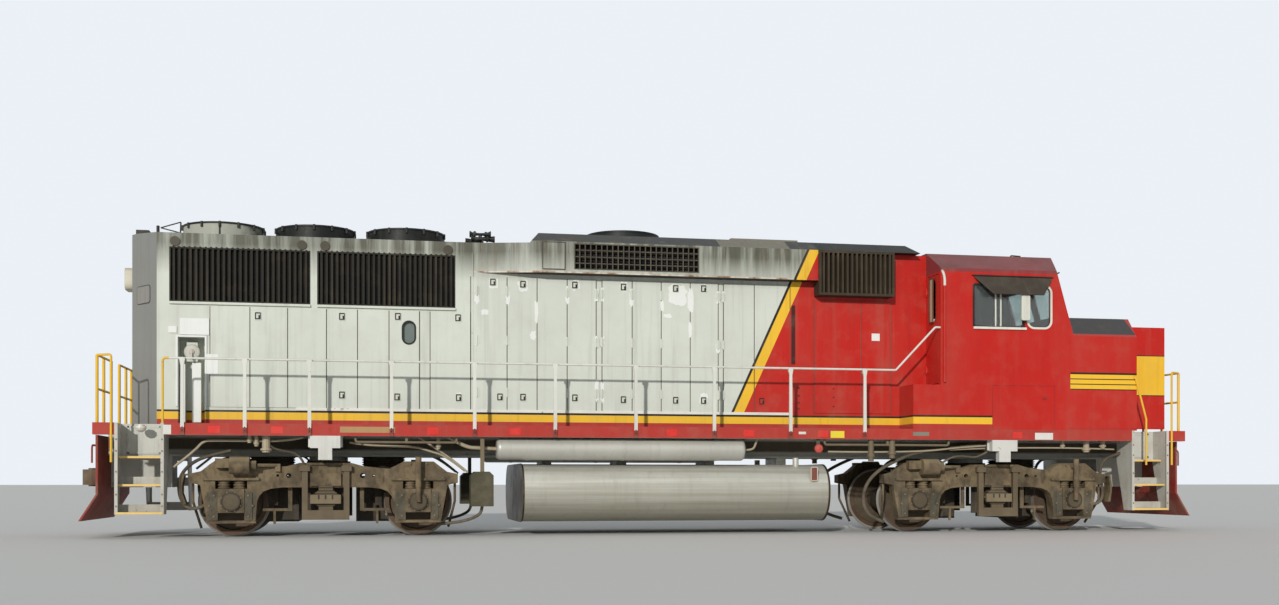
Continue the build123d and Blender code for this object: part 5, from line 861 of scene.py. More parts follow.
piece("access_panel_edges", panel_edges, weathered("panel_edge_dark", tint(70, 64, 54), grime=0.4))
rear, front, low, high = BRAKE_OPENING
levels = [low + (high - low) * (number + 0.5) / RESISTOR_ROWS for number in range(RESISTOR_ROWS)]
resistors = plates([(rear, front, z - RESISTOR_HALF, z + RESISTOR_HALF) for z in levels], RESISTOR_OUT,
                   RESISTOR_DEEP)
plates([BRAKE_OPENING], RESISTOR_OUT - RESISTOR_BACK, RESISTOR_BACK, resistors)
piece("brake_resistors", resistors, weathered("resistor_black", tint(24, 22, 20), grime=0.3, rough=0.8))

# Door latches and hinges
# Each service door has small pressed latches at its head and foot and long hinges along one edge.
# They are cast steel, painted with the door and worn; the finger recess of each is a dark plate of painted
# shade.
LATCHES = (
    (-6.43, 3.31), (-5.19, 3.33), (-4.35, 3.35), (-3.43, 3.35), (-5.19, 2.13), (-4.36, 2.11), (-3.42, 2.11),
    (-2.89, 3.92), (-2.42, 3.9), (-1.6, 3.91), (-0.82, 3.9), (0.03, 3.9), (0.49, 3.91),
    (-2.78, 2.13), (-2.42, 2.13), (-1.6, 2.13), (-0.82, 2.11), (0.03, 2.11), (0.49, 2.11), (1.46, 2.11),
)
HINGES = (-3.137, -2.669, -1.722, -1.259, -1.165, -0.679, -0.206, 0.733, 0.82)
HINGE_LEVELS = (3.78, 3.01, 2.2)
HINGE_PIN = (0.004, 0.075, 0.013)
HINGE_LEAF = (0.034, 0.06, 0.005)
LATCH_HALF = (0.043, 0.053)
LATCH_RIM = 0.010
LATCH_RIM_PROUD = 0.008
RECESS_PROUD = 0.003
# Grips of a latch: rear edge, front edge, foot and head as shares of its half size, then the thickness
LATCH_GRIPS = ((-0.6, 0.2, -0.7, 0.2, 0.012), (-0.6, 0.7, 0.2, 0.65, 0.010))
latch_rims, latch_shade_plates, latch_grips, hinges = bmesh.new(), bmesh.new(), bmesh.new(), bmesh.new()
half, tall = LATCH_HALF
for x, z in LATCHES:
    spans = (x - half, x + half, z - tall, z + tall)
    hoop(latch_rims, spans, (LATCH_RIM, 0.02), (0.0, 0.01), (door_face, door_face + LATCH_RIM_PROUD))
    plates([spans], door_face, RECESS_PROUD, latch_shade_plates)
    for rear, front, low, high, thick in LATCH_GRIPS:
        grip = (x + half * rear, x + half * front, z + tall * low, z + tall * high)
        plates([grip], door_face + RECESS_PROUD, thick, latch_grips)
proud, pin_half, pin_radius = HINGE_PIN
half, tall, thick = HINGE_LEAF
for x in HINGES:
    for z in HINGE_LEVELS:
        peg(hinges, (x, door_face + proud, z - pin_half), (x, door_face + proud, z + pin_half), pin_radius,
            10)
        plates([(x - half, x + half, z - tall, z + tall)], door_face, thick, hinges)
door_paint = weathered("door_fitting_paint", livery, grime=0.3, streaks=0.3, chips=0.4, rough=0.45)
piece("latch_rims", latch_rims, door_paint, 0.002)
# The finger recesses are flat dark plates of painted shade
piece("latch_shade_plates", latch_shade_plates, weathered("latch_painted_shade", tint(34, 30, 26), grime=0.3))
piece("latch_grips", latch_grips, door_paint, 0.002)
piece("door_hinges", hinges, door_paint)

# Walkway ledge
# A thin folded strip, white on its edge, runs along the foot of the hood above the yellow band.
# It covers the joint between the hood and its base.
LEDGE = (-5.87, 1.95, BAND_LINE, 1.93)
LEDGE_SUNK = 0.005
LEDGE_WIDE = 0.035
piece("walkway_ledge", plates([LEDGE], hood_side - LEDGE_SUNK, LEDGE_WIDE),
      weathered("ledge_paint", tint(232, 230, 222), grime=0.3, streaks=0.1, chips=0.5), 0.003)

# Front hood fittings
# A dark rain slot, small blank white labels and rows of vent holes on the red and silver side sheets.
# A rain slot and rows of vent holes, drawn dark as painted shade, and small blank white labels on the red and
# silver side sheets.
RAIN_SLOT = (1.965, 2.03, 2.72, 3.68)
HOOD_LABEL = (3.34, 3.48, 3.13, 3.25)
# Vent holes: place along the hood, heights
VENT_HOLES = ((2.09, (2.34, 2.21, 2.10, 2.0)), (2.68, (2.33, 2.19, 2.04)))
VENT_PROUD = 0.0165
JOINT_STRIP = (-3.225, -3.195, DOOR_LOW, 4.36)
JOINT_STRIP_PROUD = 0.02
RAIN_SLOT_PROUD = 0.003
HOOD_LABEL_PROUD = 0.002
holes = bmesh.new()
for x, heights in VENT_HOLES:
    for z in heights:
        stud(holes, x, (hood_side - SUNK, hood_side + VENT_PROUD), z, BOLT_RADIUS, 12)
# The rain slot and the vent holes are dark plates and discs of painted shade
piece("hood_rain_slots", plates([RAIN_SLOT], hood_side, RAIN_SLOT_PROUD),
      weathered("slot_painted_shade", tint(70, 26, 24), grime=0.4))
piece("hood_labels", plates([HOOD_LABEL], door_face, HOOD_LABEL_PROUD), patch_white, 0.001)
piece("hood_vent_holes", holes, weathered("hole_painted_shade", tint(38, 36, 34), grime=0.3))
piece("hood_joint_strips", plates([JOINT_STRIP], hood_side, JOINT_STRIP_PROUD), door_paint,
      0.003)

# Nose and its door
# The low nose is folded steel with a dull dark panel on its sloping top, so that it doesn't dazzle the crew.
# Three straight yellow bars with black lines run along each side; the open door has one plain yellow panel.
NOSE_GREY = tint(48, 47, 47)
NOSE_DARK_SPAN = (6.62, 7.80)
NOSE_DARK_LOW = 3.255
DOOR_PANEL = (2.28, 2.94)
# The lower side covers: rear edge, front edge, foot, head
SIDE_COVERS = ((5.20, 6.305, 1.66, 2.385), (6.57, 7.79, 1.66, 1.70))
COVER_LINE = 0.008
COVER_PROUD = 0.003
COVER_LATCH = (6.10, 6.16, 2.16, 2.20)
COVER_LATCH_PROUD = 0.012


def nose_colour(at):
    dark = at.times(at.ramp(at.z, NOSE_DARK_LOW, NOSE_DARK_LOW + 0.01), at.between(at.x, *NOSE_DARK_SPAN))
    return at.mix(dark, livery(at), NOSE_GREY)


def nose_door_colour(at):
    low, high = DOOR_PANEL
    colour = at.mix(at.between(at.z, low - BAR_LINE, high + BAR_LINE, 0.002), BODY_RED, STRIPE_BLACK)
    return at.mix(at.between(at.z, low, high, 0.002), colour, STRIPE_YELLOW)


finish(weathered("nose_paint", nose_colour, grime=0.16, streaks=0.1, low_dust=0.1, settled=0.3, rough=0.36),
       "nose")
finish(weathered("nose_door_paint", nose_door_colour, grime=0.25, streaks=0.2, low_dust=0.15, rough=0.4),
       "nose_door")
cab_side = -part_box("cab_side_right")[0].y
covers = plates([COVER_LATCH], cab_side, COVER_LATCH_PROUD)
for spans in SIDE_COVERS:
    head_and_sides = rim(*spans, COVER_LINE)[:3]
    plates(head_and_sides, cab_side, COVER_PROUD, covers)
piece("side_cover_edges", covers, weathered("cover_edge_paint", tint(150, 38, 38), grime=0.3, rough=0.45))

# Cab glass and fittings
# Laminated panes in rubber, a little green and dusty, with the crew's seats and desk dark behind them.
# A folded grey sheet shades the side windows; sliding sashes, mirror and drain pipe are bolted on.
REAR_PANE = (4.88, 5.75, 3.34, 4.02)
FRONT_PANE = (5.83, 6.23, 3.34, 4.02)
PANE_RIM = 0.028
PANE_LAP = -0.006
SASH_BARS = (5.27, 5.36)
SASH_BAR_HALF = 0.011
SASH_DEEP = 0.05
SASH_THICK = 0.03
WINDOW_SILL_PROUD = 0.035
DRIP_STRIP_PROUD = 0.03
WINDOW_SILL = (4.865, 5.79, 3.296, 3.334)
DRIP_STRIP = (4.84, 6.27, 4.16, 4.178)
MIRROR = (5.66, 5.81, 3.44, 3.86)
MIRROR_OUT = (1.60, 1.64)
MIRROR_ARM_X = 5.79
MIRROR_ARM_HEIGHTS = (3.50, 3.80)
MIRROR_ARM_DROP = 0.06
MIRROR_ARM_RADIUS = 0.011
DRAIN_OUT = 1.545
DRAIN = ((4.33, DRAIN_OUT - 0.10, 4.27), (4.33, DRAIN_OUT, 4.22), (4.36, DRAIN_OUT, 4.10),
         (4.36, DRAIN_OUT, 3.98), (4.36, DRAIN_OUT, 2.90), (4.36, DRAIN_OUT, 2.42))
DRAIN_RADIUS = 0.022
DRAIN_WHITE = 3.99
AERIAL = ((6.30, 0.0, 4.58), (6.30, 0.0, 4.70), (6.26, 0.0, 4.785), (6.36, 0.0, 4.78), (6.46, 0.0, 4.775))
WIPER_ARM = ((6.36, 1.16, 4.21), (6.55, 1.22, 4.31))
ARM_RADIUS = 0.012
# Windows of the rear doors: in to out, foot, head
DOOR_PANE = (1.1525, 1.2725, 3.43, 4.13)
DOOR_FACES = (4.272, 4.282)
DOOR_PANE_LAP = 0.001
DOOR_RIM = 0.02
DOOR_RIM_DEEP = (-0.006, 0.01)


def piped(mesh, points, radius):
    """Adds a bent pipe whose middle follows a smooth spline with the given control points."""
    curve = bpy.data.curves.new("course", "CURVE")
    curve.dimensions = "3D"
    curve.bevel_depth = radius
    curve.bevel_resolution = 3
    curve.use_fill_caps = True
    spline = curve.splines.new("NURBS")
    spline.points.add(len(points) - 1)
    for knot, place in zip(spline.points, points):
        knot.co = (*place, 1.0)
    spline.order_u = 3
    spline.use_endpoint_u = True
    spline.resolution_u = 8
    course = bpy.data.objects.new("course", curve)
    run = bpy.data.meshes.new_from_object(course)
    mesh.from_mesh(run)
    bpy.data.objects.remove(course)
    bpy.data.curves.remove(curve)
    bpy.data.meshes.remove(run)


def drain_colour(at):
    return at.mix(at.ramp(at.z, DRAIN_WHITE - 0.01, DRAIN_WHITE), BODY_RED, tint(226, 224, 216))


pane = Coat("cab_glass")
film = pane.stain(5.0, 0.35, 0.8)
finish(pane.made({"Base Color": pane.mix(pane.times(film, 0.15), tint(206, 220, 218), DUST),
                  "Roughness": pane.maths("ADD", pane.times(film, 0.12), 0.02), "Transmission Weight": 0.93,
                  "IOR": 1.45}), "cab_windows")
finish(weathered("cab_trim_finish", tint(52, 58, 54), grime=0.2, streaks=0.0, low_dust=0.0, settled=0.1,
                 rough=0.6), "cab_interior")
finish(weathered("awning_paint", tint(64, 57, 49), grime=0.3, streaks=0.2, settled=0.3, rough=0.7),
       "window_awnings")
finish(weathered("lamp_paint", tint(214, 208, 190), grime=0.4, streaks=0.3, settled=0.4), "headlights")
white_rims = plates([WINDOW_SILL], cab_side, WINDOW_SILL_PROUD)
rubber_rims = plates([DRIP_STRIP], cab_side, DRIP_STRIP_PROUD)
frame_depth = (cab_side - 0.004, cab_side + 0.012)
hoop(rubber_rims, REAR_PANE, (PANE_RIM * 0.8, 0.045), (PANE_LAP, 0.02), frame_depth)
hoop(white_rims, FRONT_PANE, (PANE_RIM, 0.138), (PANE_LAP, 0.104), frame_depth)
plates([(x - SASH_BAR_HALF, x + SASH_BAR_HALF, *REAR_PANE[2:]) for x in SASH_BARS], cab_side - SASH_DEEP,
       SASH_THICK, white_rims)
mirrors, brackets, drains = bmesh.new(), bmesh.new(), bmesh.new()
prism(mirrors, rounded(MIRROR, 0.03), MIRROR_OUT)
for z in MIRROR_ARM_HEIGHTS:
    peg(brackets, (MIRROR_ARM_X, cab_side - 0.004, z - MIRROR_ARM_DROP),
        (MIRROR_ARM_X, MIRROR_OUT[0] + 0.01, z), MIRROR_ARM_RADIUS, 10)
peg(brackets, *WIPER_ARM, ARM_RADIUS, 8)
mirrored(brackets)
piped(brackets, AERIAL, ARM_RADIUS)
piped(drains, DRAIN, DRAIN_RADIUS)
piece("window_frames", white_rims,
      weathered("frame_white", tint(224, 222, 210), grime=0.3, streaks=0.2, chips=0.3), 0.002)
piece("window_rubbers", rubber_rims, rubber, 0.002)
piece("mirrors", mirrors, weathered("mirror_shell", tint(214, 214, 202), grime=0.3, streaks=0.2, rough=0.4),
      0.006)
piece("cab_brackets", brackets, dark_steel, spread="middle")
piece("drain_pipes", drains, weathered("drain_paint", drain_colour, grime=0.3, streaks=0.2))
near, far, low, high = DOOR_PANE
for word in ("right", "left"):
    door = "cab_door_" + word
    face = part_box(door)[0].x
    door_panes, door_rims = bmesh.new(), bmesh.new()
    slab(door_panes, DOOR_FACES, (near - DOOR_PANE_LAP, far + DOOR_PANE_LAP),
         (low - DOOR_PANE_LAP, high + DOOR_PANE_LAP))
    for y_span, z_span in (((near - DOOR_RIM, near), (low - DOOR_RIM, high + DOOR_RIM)),
                           ((far, far + DOOR_RIM), (low - DOOR_RIM, high + DOOR_RIM)),
                           ((near, far), (low - DOOR_RIM, low)), ((near, far), (high, high + DOOR_RIM))):
        slab(door_rims, (face + DOOR_RIM_DEEP[0], face + DOOR_RIM_DEEP[1]), y_span, z_span)
    piece("door_pane_" + word, door_panes,
          weathered("door_pane_glass_" + word, tint(188, 180, 152), grime=0.4,
                    streaks=0.3, rough=0.25), 0.002, door, word)
    piece("door_pane_frame_" + word, door_rims, weathered("pane_frame_" + word, tint(96, 62, 44), grime=0.5),
          0.002, door, word)

# Fuel tank and air reservoirs
# The tank is welded from bright plate, brushed by years of washing; the reservoirs are silver drawn tubes.
# The tank's ends are caked with road dirt; a sight glass and a plain red stop button serve the filler.
TANK_SILVER = tint(214, 214, 204)
TANK_BRUSHED = tint(176, 174, 162)
TANK_SHADE_SPAN = (0.872, 0.272)
TANK_END_RIM = 0.03
SIGHT_GLASS = (2.15, 2.24, 0.83, 1.03)
SIGHT_RIM = 0.016
SIGHT_ROUND = 0.014
SIGHT_SUNK = 0.05
STOP_BUTTON_RINGS = ((0.0, 0.062), (0.02, 0.07), (0.035, 0.07), (0.05, 0.058), (0.055, 0.025), (0.062, 0.0))
STOP_BUTTON = (2.245, 1.46, 1.335)
STOP_BRACKET = (2.215, 2.275, 1.29, 1.487)
STOP_BRACKET_THICK = 0.012
tank_low, tank_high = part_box("fuel_tank")


def tank_colour(at):
    colour = at.mix(at.stain(1.0, 0.3, 0.75, (0.25, 9.0, 14.0)), TANK_BRUSHED, TANK_SILVER)
    # Darker towards the bottom: painted shade on the lower flank, which faces the ground
    colour = at.mix(at.times(at.ramp(at.z, *TANK_SHADE_SPAN), 0.6), colour, tint(96, 88, 64))
    flank = at.between(at.x, tank_low.x + TANK_END_RIM, tank_high.x - TANK_END_RIM, 0.003)
    dirty = at.mix(at.stain(5.0, 0.42, 0.6, detail=7.0), tint(78, 63, 42), tint(40, 34, 24))
    return at.mix(flank, dirty, colour)


finish(weathered("tank_metal", tank_colour, grime=0.25, streaks=0.15, low_dust=0.08, settled=0.0, rough=0.42,
                 metal=0.3, relief=0.2), "fuel_tank")
finish(weathered("reservoir_metal", tint(192, 191, 182), grime=0.3, streaks=0.15, low_dust=0.08, settled=0.05,
                 rough=0.4, metal=0.25, relief=0.15), "air_reservoirs")
sights, sight_panes, buttons = bmesh.new(), bmesh.new(), bmesh.new()
tank_side = tank_high.y
hoop(sights, SIGHT_GLASS, (SIGHT_RIM, 0.03), (0.0, SIGHT_ROUND), (tank_side - SIGHT_SUNK, tank_side + 0.012))
prism(sight_panes, rounded(grown(SIGHT_GLASS, 0.001), SIGHT_ROUND),
      (tank_side - SIGHT_SUNK, tank_side + 0.004))
turned(buttons, STOP_BUTTON_RINGS, STOP_BUTTON, (0, 1, 0))
piece("tank_sight_frames", sights, weathered("sight_frame", tint(206, 200, 186), grime=0.4, chips=0.4),
      0.003)
piece("tank_sight_panes", sight_panes, weathered("sight_pane", tint(122, 52, 42), grime=0.4, rough=0.3))
piece("fuel_stop_buttons", buttons, weathered("button_red", tint(206, 62, 58), grime=0.3, rough=0.4),
      0.002)
piece("fuel_stop_brackets", plates([STOP_BRACKET], STOP_BUTTON[1] - STOP_BRACKET_THICK, STOP_BRACKET_THICK),
      dark_steel, 0.002)

# Piping under the sills
# Air and sand pipes of drawn steel, pale with dust, clipped to the beams between the tank and the trucks.
# The sand box and the valves beside them are darker; the longer runs bend down behind the trucks.
GEAR_BROWN = tint(118, 106, 86)
SAND_BOX_SPAN = (-3.40, -2.80)
SAND_BOX_HIGH = (0.972, 0.952)
PIPE_CREAM = tint(172, 160, 136)
# Pipes: radius, then points along, out and over the rail
FRAME_PIPES = (
    (0.020, ((-7.60, 1.28, 1.02), (-7.30, 1.28, 1.26), (-7.18, 1.28, 1.41), (-7.02, 1.28, 1.415),
             (-6.60, 1.28, 1.415), (-6.00, 1.28, 1.41), (-5.75, 1.28, 1.47))),
    (0.030, ((-3.60, 1.29, 1.49), (-3.52, 1.29, 1.44), (-3.30, 1.29, 1.33), (-3.15, 1.29, 1.325),
             (-2.86, 1.29, 1.31))),
    (0.018, ((-5.07, 1.20, 1.40), (-4.80, 1.20, 1.355), (-4.33, 1.20, 1.345), (-4.05, 1.20, 1.33),
             (-3.90, 1.20, 1.28), (-3.62, 1.20, 1.20), (-3.34, 1.20, 0.97))),
    (0.016, ((-4.05, 1.24, 1.49), (-3.98, 1.24, 1.44), (-3.67, 1.24, 1.24), (-3.45, 1.24, 1.08),
             (-3.30, 1.24, 0.95))),
    (0.018, ((1.05, 1.29, 1.31), (1.18, 1.29, 1.31), (1.24, 1.33, 1.36), (1.26, 1.36, 1.49))),
    (0.016, ((2.45, 1.34, 1.29), (2.9, 1.34, 1.285), (3.6, 1.34, 1.29), (4.2, 1.34, 1.31), (4.60, 1.34, 1.36),
             (5.18, 1.34, 1.40))),
    (0.014, ((4.55, 1.30, 1.33), (5.2, 1.30, 1.36), (5.9, 1.30, 1.37), (6.9, 1.30, 1.37), (7.5, 1.30, 1.35))),
)
# Short hangers under the sill: place along, radius, foot
HANGERS = ((-6.52, 0.028, 1.38), (-6.28, 0.06, 1.24), (-6.42, 0.03, 1.33), (-3.75, 0.03, 1.30),
           (6.55, 0.03, 1.36), (6.98, 0.05, 1.30), (7.28, 0.04, 1.36))
HANGER_OUT = 1.32
HANGER_HEAD = 1.50
COLLAR_SPAN = (0.03, 0.06)
COLLAR_WIDER = 1.4


def sill_gear_colour(at):
    """The sand box is darker and greener than the valves beside it."""
    box = at.times(at.between(at.x, *SAND_BOX_SPAN), at.ramp(at.z, *SAND_BOX_HIGH))
    return at.mix(box, GEAR_BROWN, tint(66, 64, 46))


finish(weathered("sill_gear_paint", sill_gear_colour, grime=0.45, streaks=0.3, low_dust=0.2, settled=0.3,
                 chips=0.3, rough=0.65, metal=0.15), "sill_gear")
frame_pipes = bmesh.new()
for radius, points in FRAME_PIPES:
    piped(frame_pipes, points, radius)
for x, radius, foot in HANGERS:
    for low, high, thick in ((foot, HANGER_HEAD, radius),
                             (foot + COLLAR_SPAN[0], foot + COLLAR_SPAN[1], radius * COLLAR_WIDER)):
        peg(frame_pipes, (x, HANGER_OUT, low), (x, HANGER_OUT, high), thick)
piece("frame_pipes", frame_pipes, weathered("pipe_paint", PIPE_CREAM, grime=0.5, streaks=0.2, low_dust=0.2,
                                            chips=0.3))

# Trucks and couplers
# Cast-steel side frames, bolster, bearing boxes and brake gear, one dry brown of brake dust on old paint.
# The motors behind are dark castings deepened as painted shade, and gear behind the side frames is darkened
# as painted shade; the couplers are bare rusty castings.
TRUCK_BROWN = tint(122, 106, 80)
TRUCK_SHADE = tint(84, 72, 54)
PLATE_GREEN = tint(72, 73, 64)
TRUCK_PLACE = 5.42
AXLE_OFFSET = 1.3715
AXLE_HEIGHT = 0.508
WEAR_PLATE_OFF = (0.19, 0.345)
WEAR_PLATE_HEIGHTS = (0.24, 0.66)
LEAF_RISE = 0.046
LEAF_GAP = 0.3
LEAF_REACH = 0.26
LEAF_SPAN = (0.40, 0.74)


def off_truck(at):
    """Distance along the frame from the nearest truck's middle, forwards or backwards."""
    return at.less(at.maths("ABSOLUTE", at.x), TRUCK_PLACE)


def off_axle(at):
    """Distance along the frame from the nearest axle."""
    return at.maths("ABSOLUTE", at.less(at.maths("ABSOLUTE", off_truck(at)), AXLE_OFFSET))


def truck_colour(at):
    colour = at.mix(at.stain(2.6, 0.42, 0.6, detail=8.0), TRUCK_BROWN, TRUCK_SHADE)
    wear = at.times(at.between(off_axle(at), *WEAR_PLATE_OFF, 0.01),
                    at.between(at.z, *WEAR_PLATE_HEIGHTS, 0.02))
    oil = at.stain(9.0, 0.46, 0.66, (1.0, 1.0, 0.6), 8.0)
    dusty = at.times(at.ramp(at.up, 0.3, 0.8), at.ramp(at.out, 0.95, 1.02))
    # Faces further in than the side frames are darkened as painted shade
    for where, amount, paint in ((wear, 0.75, PLATE_GREEN), (oil, 0.75, tint(50, 43, 33)),
                                 (dusty, 0.7, tint(160, 144, 114)),
                                 (at.ramp(at.out, 0.98, 0.86), 0.85, tint(32, 28, 23))):
        colour = at.mix(at.times(where, amount), colour, paint)
    return colour


def journal_colour(at):
    reach = at.reach(off_axle(at), at.less(at.z, AXLE_HEIGHT))
    colour = at.mix(at.between(reach, 0.112, 0.15), truck_colour(at), tint(48, 42, 36))
    return at.mix(at.ramp(reach, 0.114, 0.108), colour, tint(78, 68, 52))


def spring_colour(at):
    """Stacked leaves with dark gaps between them, inside plain hangers."""
    step = at.maths("FRACT", at.maths("DIVIDE", at.maths("ADD", at.z, RAIL_TOP), LEAF_RISE))
    gap = at.times(at.ramp(step, LEAF_GAP, LEAF_GAP - 0.05), at.between(at.z, *LEAF_SPAN, 0.002))
    leaves = at.ramp(at.maths("ABSOLUTE", off_truck(at)), LEAF_REACH, LEAF_REACH - 0.01)
    return at.mix(at.times(gap, leaves), tint(98, 85, 66), tint(26, 23, 19))


truck_paint = weathered("truck_casting", truck_colour, grime=0.3, streaks=0.15, low_dust=0.15, settled=0.2,
                        chips=0.3, rough=0.8, relief=0.5, grain=26.0)
journal_paint = weathered("journal_casting", journal_colour, grime=0.3, streaks=0.1, low_dust=0.15,
                          settled=0.2, chips=0.3, rough=0.75, relief=0.5, grain=26.0)
spring_paint = weathered("spring_steel", spring_colour, grime=0.3, streaks=0.2, low_dust=0.15, rough=0.75)
# Motors, spring planks and saddle notches share this near-black, partly real paint and partly painted shade
# of lying behind the side frames
dark_paint_and_shade = weathered("motor_casting_and_shade", tint(38, 34, 28), grime=0.3, streaks=0.3, low_dust=0.12, rough=0.7,
                        relief=0.4)
for end in ("rear", "front"):
    for part, paint in (("side_frames", truck_paint), ("bolster", truck_paint), ("brakes", truck_paint),
                        ("journals", journal_paint), ("springs", spring_paint), ("motors", dark_paint_and_shade)):
        finish(paint, "truck_%s_%s" % (end, part))
finish(weathered("coupler_steel", tint(84, 64, 48), grime=0.5, streaks=0.3, low_dust=0.5, chips=0.8,
                 rough=0.75, relief=0.5), "coupler_front", "coupler_rear")

# Bolts and spring plates on the trucks
# Hexagon bolts hold the wear plates, guards and cylinder feet; small round plugs close the spring pockets.
# A plank in the motors' dark paint, deepened as painted shade, stands behind each leaf spring, and a saddle
# plate holds the leaves together, its notches dark plates of painted shade.
# Bolts: distance along from the axle, height
TRUCK_BOLTS = ((0.245, 0.29), (0.245, 0.60), (0.31, 0.45), (0.37, 0.865), (0.12, 1.08))
TRUCK_FACE = 1.215
TRUCK_BOLT_PROUD = 0.03
TRUCK_BOLT_RADIUS = 0.016
BOX_BOLTS = 8
BOX_BOLT_REACH = 0.148
BOX_BOLT_RADIUS = 0.012
BOX_FACES = (1.253, 1.267)
# Plank and saddle: half length, foot, head
SPRING_PLANK = (0.335, 0.285, 0.735)
PLANK_OUT = 0.945
PLANK_THICK = 0.02
PLUG_PLACE = 0.6
PLUG_RADIUS = 0.03
SADDLE = (0.225, 0.475, 0.612)
SADDLE_PROUD = 0.02
SADDLE_SUNK = 0.03
NOTCH_APART = 0.10
NOTCH_HALF = 0.012
NOTCH_SPAN = (0.542, 0.606)
bolt_paint = weathered("truck_bolts", tint(112, 98, 78), grime=0.4, chips=0.3, rough=0.7)
saddle_paint = weathered("saddle_plate", tint(120, 106, 82), grime=0.35, streaks=0.2, chips=0.3, rough=0.75)
for way, end in ((-1, "rear"), (1, "front")):
    truck = "truck_" + end
    middle = way * TRUCK_PLACE
    bolts = bmesh.new()
    for axle_x in (middle - AXLE_OFFSET, middle + AXLE_OFFSET):
        for across, z in TRUCK_BOLTS:
            for x in (axle_x - across, axle_x + across):
                stud(bolts, x, (TRUCK_FACE - SUNK, TRUCK_FACE + TRUCK_BOLT_PROUD), z, TRUCK_BOLT_RADIUS)
        for number in range(BOX_BOLTS):
            angle = 2 * math.pi * (number + 0.5) / BOX_BOLTS
            stud(bolts, axle_x + BOX_BOLT_REACH * math.cos(angle), BOX_FACES,
                 AXLE_HEIGHT + BOX_BOLT_REACH * math.sin(angle), BOX_BOLT_RADIUS)
    piece(truck + "_bolts", bolts, bolt_paint, body=truck)
    half, low, high = SPRING_PLANK
    planks = plates([(middle - half, middle + half, low, high)], PLANK_OUT, PLANK_THICK)
    for lean in (-PLUG_PLACE, PLUG_PLACE):
        stud(planks, middle + lean * half, (PLANK_OUT, PLANK_OUT + 2 * PLANK_THICK), (low + high) / 2,
             PLUG_RADIUS, 12)
    piece(truck + "_spring_planks", planks, dark_paint_and_shade, 0.006, truck)
    half, low, high = SADDLE
    spring_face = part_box(truck + "_springs")[1].y
    piece(truck + "_spring_saddles",
          plates([(middle - half, middle + half, low, high)], spring_face - SADDLE_SUNK,
                 SADDLE_SUNK + SADDLE_PROUD), saddle_paint, 0.008, truck)
    places = [middle + lean * NOTCH_APART for lean in (-1, 0, 1)]
    piece(truck + "_saddle_notches",
          plates([(x - NOTCH_HALF, x + NOTCH_HALF, *NOTCH_SPAN) for x in places], spring_face + SADDLE_PROUD,
                 0.002), dark_paint_and_shade, body=truck)

# Bellows and hoses
# Ribbed rubber bellows lead cooling air from the frame to each motor.
# Rubber air and sand hoses hang from the frame to each truck, free enough for it to swing.
BELLOWS_HALF = (0.34, 0.30)
BELLOWS_SPAN = (0.93, 1.19)
BELLOWS_FOLDS = 7
BELLOWS_FOLD = 0.03
BELLOWS_ROUND = 0.08
BELLOWS_PLACE = 0.86
hose_rubber = weathered("hose_rubber", tint(64, 58, 48), grime=0.4, streaks=0.1, low_dust=0.6, rough=0.75)
# Hoses: name, truck, radius, points along, out and over the rail, from the frame to the truck
HOSES = (
    ("guard_hose_rear", "truck_rear", 0.026, ((-6.80, 1.15, 1.27), (-7.02, 1.15, 1.22), (-7.32, 1.15, 1.12),
     (-7.51, 1.15, 0.93), (-7.55, 1.15, 0.72), (-7.51, 1.15, 0.52), (-7.40, 1.13, 0.40), (-7.22, 1.10, 0.42),
     (-7.10, 1.08, 0.52))),
    ("brake_hose_rear", "truck_rear", 0.018, ((-6.28, 1.32, 1.40), (-6.20, 1.32, 1.30), (-6.00, 1.32, 1.26),
     (-5.85, 1.30, 1.23), (-5.75, 1.26, 1.12), (-5.72, 1.22, 1.02))),
    ("sand_hose_rear", "truck_rear", 0.024, ((-3.08, 1.25, 0.47), (-3.08, 1.25, 0.36), (-3.16, 1.22, 0.27),
     (-3.36, 1.15, 0.20), (-3.56, 1.05, 0.17), (-3.74, 0.98, 0.15))),
    ("guard_hose_front", "truck_front", 0.026, ((7.75, 1.15, 1.30), (7.52, 1.15, 1.25), (7.36, 1.15, 1.13),
     (7.32, 1.15, 0.93), (7.38, 1.15, 0.70), (7.38, 1.14, 0.52), (7.28, 1.12, 0.42), (7.16, 1.10, 0.44))),
    ("brake_hose_front", "truck_front", 0.018, ((5.30, 1.32, 1.36), (5.05, 1.32, 1.20), (4.85, 1.32, 1.22),
     (4.66, 1.32, 1.23), (4.50, 1.30, 1.17), (4.42, 1.26, 1.10))),
    ("sand_hose_front", "truck_front", 0.028, ((5.10, 1.30, 1.40), (4.60, 1.30, 1.36), (3.98, 1.30, 1.29),
     (3.62, 1.30, 1.15), (3.33, 1.30, 1.00), (3.13, 1.29, 0.80), (3.06, 1.27, 0.56), (3.12, 1.22, 0.36),
     (3.28, 1.12, 0.22), (3.52, 1.00, 0.15))),
)


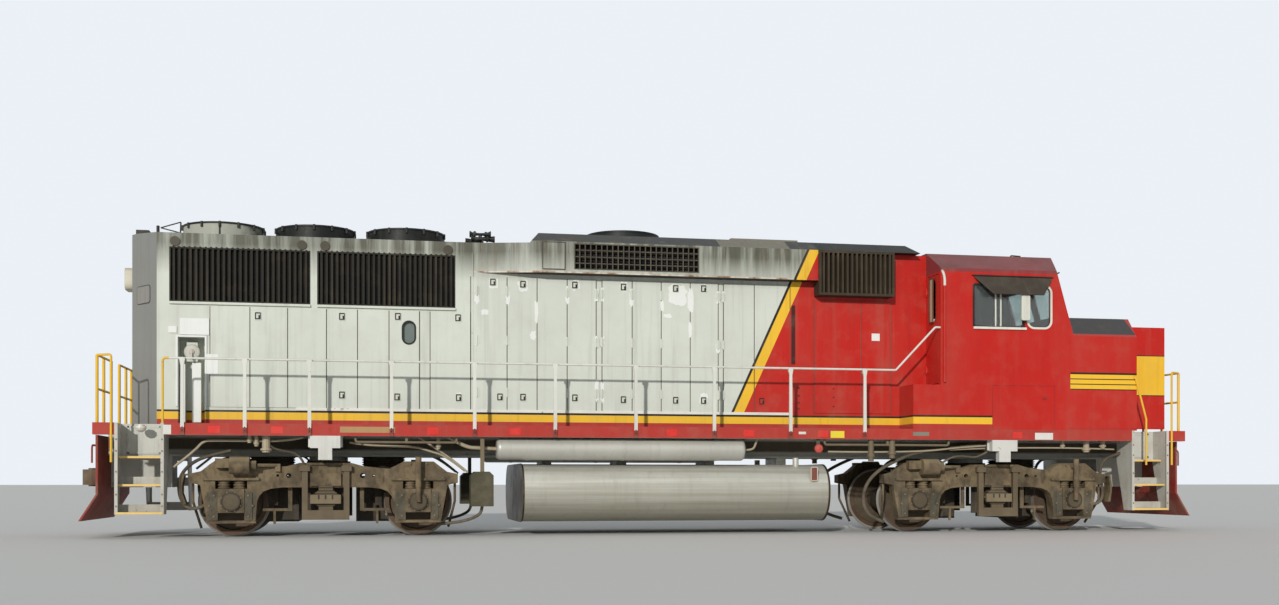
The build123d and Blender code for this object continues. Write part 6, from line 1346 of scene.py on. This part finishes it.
def hung(name, mesh, outward):
    """A rubber piece that runs from the frame to a truck, lifted over the rail, with its transform baked into
    its mesh.
    """
    made = shown(name, mesh, hose_rubber, outward)
    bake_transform(made)


low, high = BELLOWS_SPAN
half_long, half_wide = BELLOWS_HALF
for way, end in ((-1, "rear"), (1, "front")):
    for lean, word in ((-1, "a"), (1, "b")):
        middle = way * TRUCK_PLACE + lean * BELLOWS_PLACE
        rings = []
        for number in range(2 * BELLOWS_FOLDS + 1):
            z = low + (high - low) * number / (2 * BELLOWS_FOLDS)
            spans = (middle - half_long, middle + half_long, -half_wide, half_wide)
            outline = rounded(grown(spans, -BELLOWS_FOLD if number % 2 else 0.0), BELLOWS_ROUND, 4)
            rings.append([(x, y, z) for x, y in outline])
        bellows = bmesh.new()
        lofted(bellows, rings)
        hung("motor_bellows_%s_%s" % (end, word), bellows,
             True)
for name, truck, radius, points in HOSES:
    for side, word in ((-1, "right"), (1, "left")):
        course = [(x, side * out, z) for x, out, z in points]
        hose = bmesh.new()
        piped(hose, course, radius)
        for face in hose.faces:
            face.smooth = True
        # A pipe's faces look outward already
        hung("%s_%s" % (name, word), hose, False)

# Wheelsets
# Forged wheels pressed on their axles: a rusty dusty disc, a darker rim and a tread rolled bright.
# Each wheelset's colours are measured from the middle of its own axle.
TREAD_BRIGHT = tint(150, 146, 138)
RIM_BROWN = tint(84, 64, 48)
DISC_BROWN = tint(84, 71, 57)
RIM_FROM = (0.43, 0.45)
TREAD_FROM = (0.497, 0.502)


def wheel_finish(number):
    wheelset = "wheelset_%d" % number
    middle = sum(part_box(wheelset), Vector()) / 2

    def colour(at):
        reach = at.reach(at.less(at.x, middle.x), at.less(at.z, middle.z - RAIL_TOP))
        shade = at.mix(at.ramp(reach, *RIM_FROM), DISC_BROWN, RIM_BROWN)
        return at.mix(at.ramp(reach, *TREAD_FROM), shade, TREAD_BRIGHT)

    finish(weathered("wheel_steel_%d" % number, colour, grime=0.4, streaks=0.0, low_dust=0.1, settled=0.1,
                     chips=0.3, rough=0.55, metal=0.3), wheelset)


for number in (1, 2, 3, 4):
    wheel_finish(number)
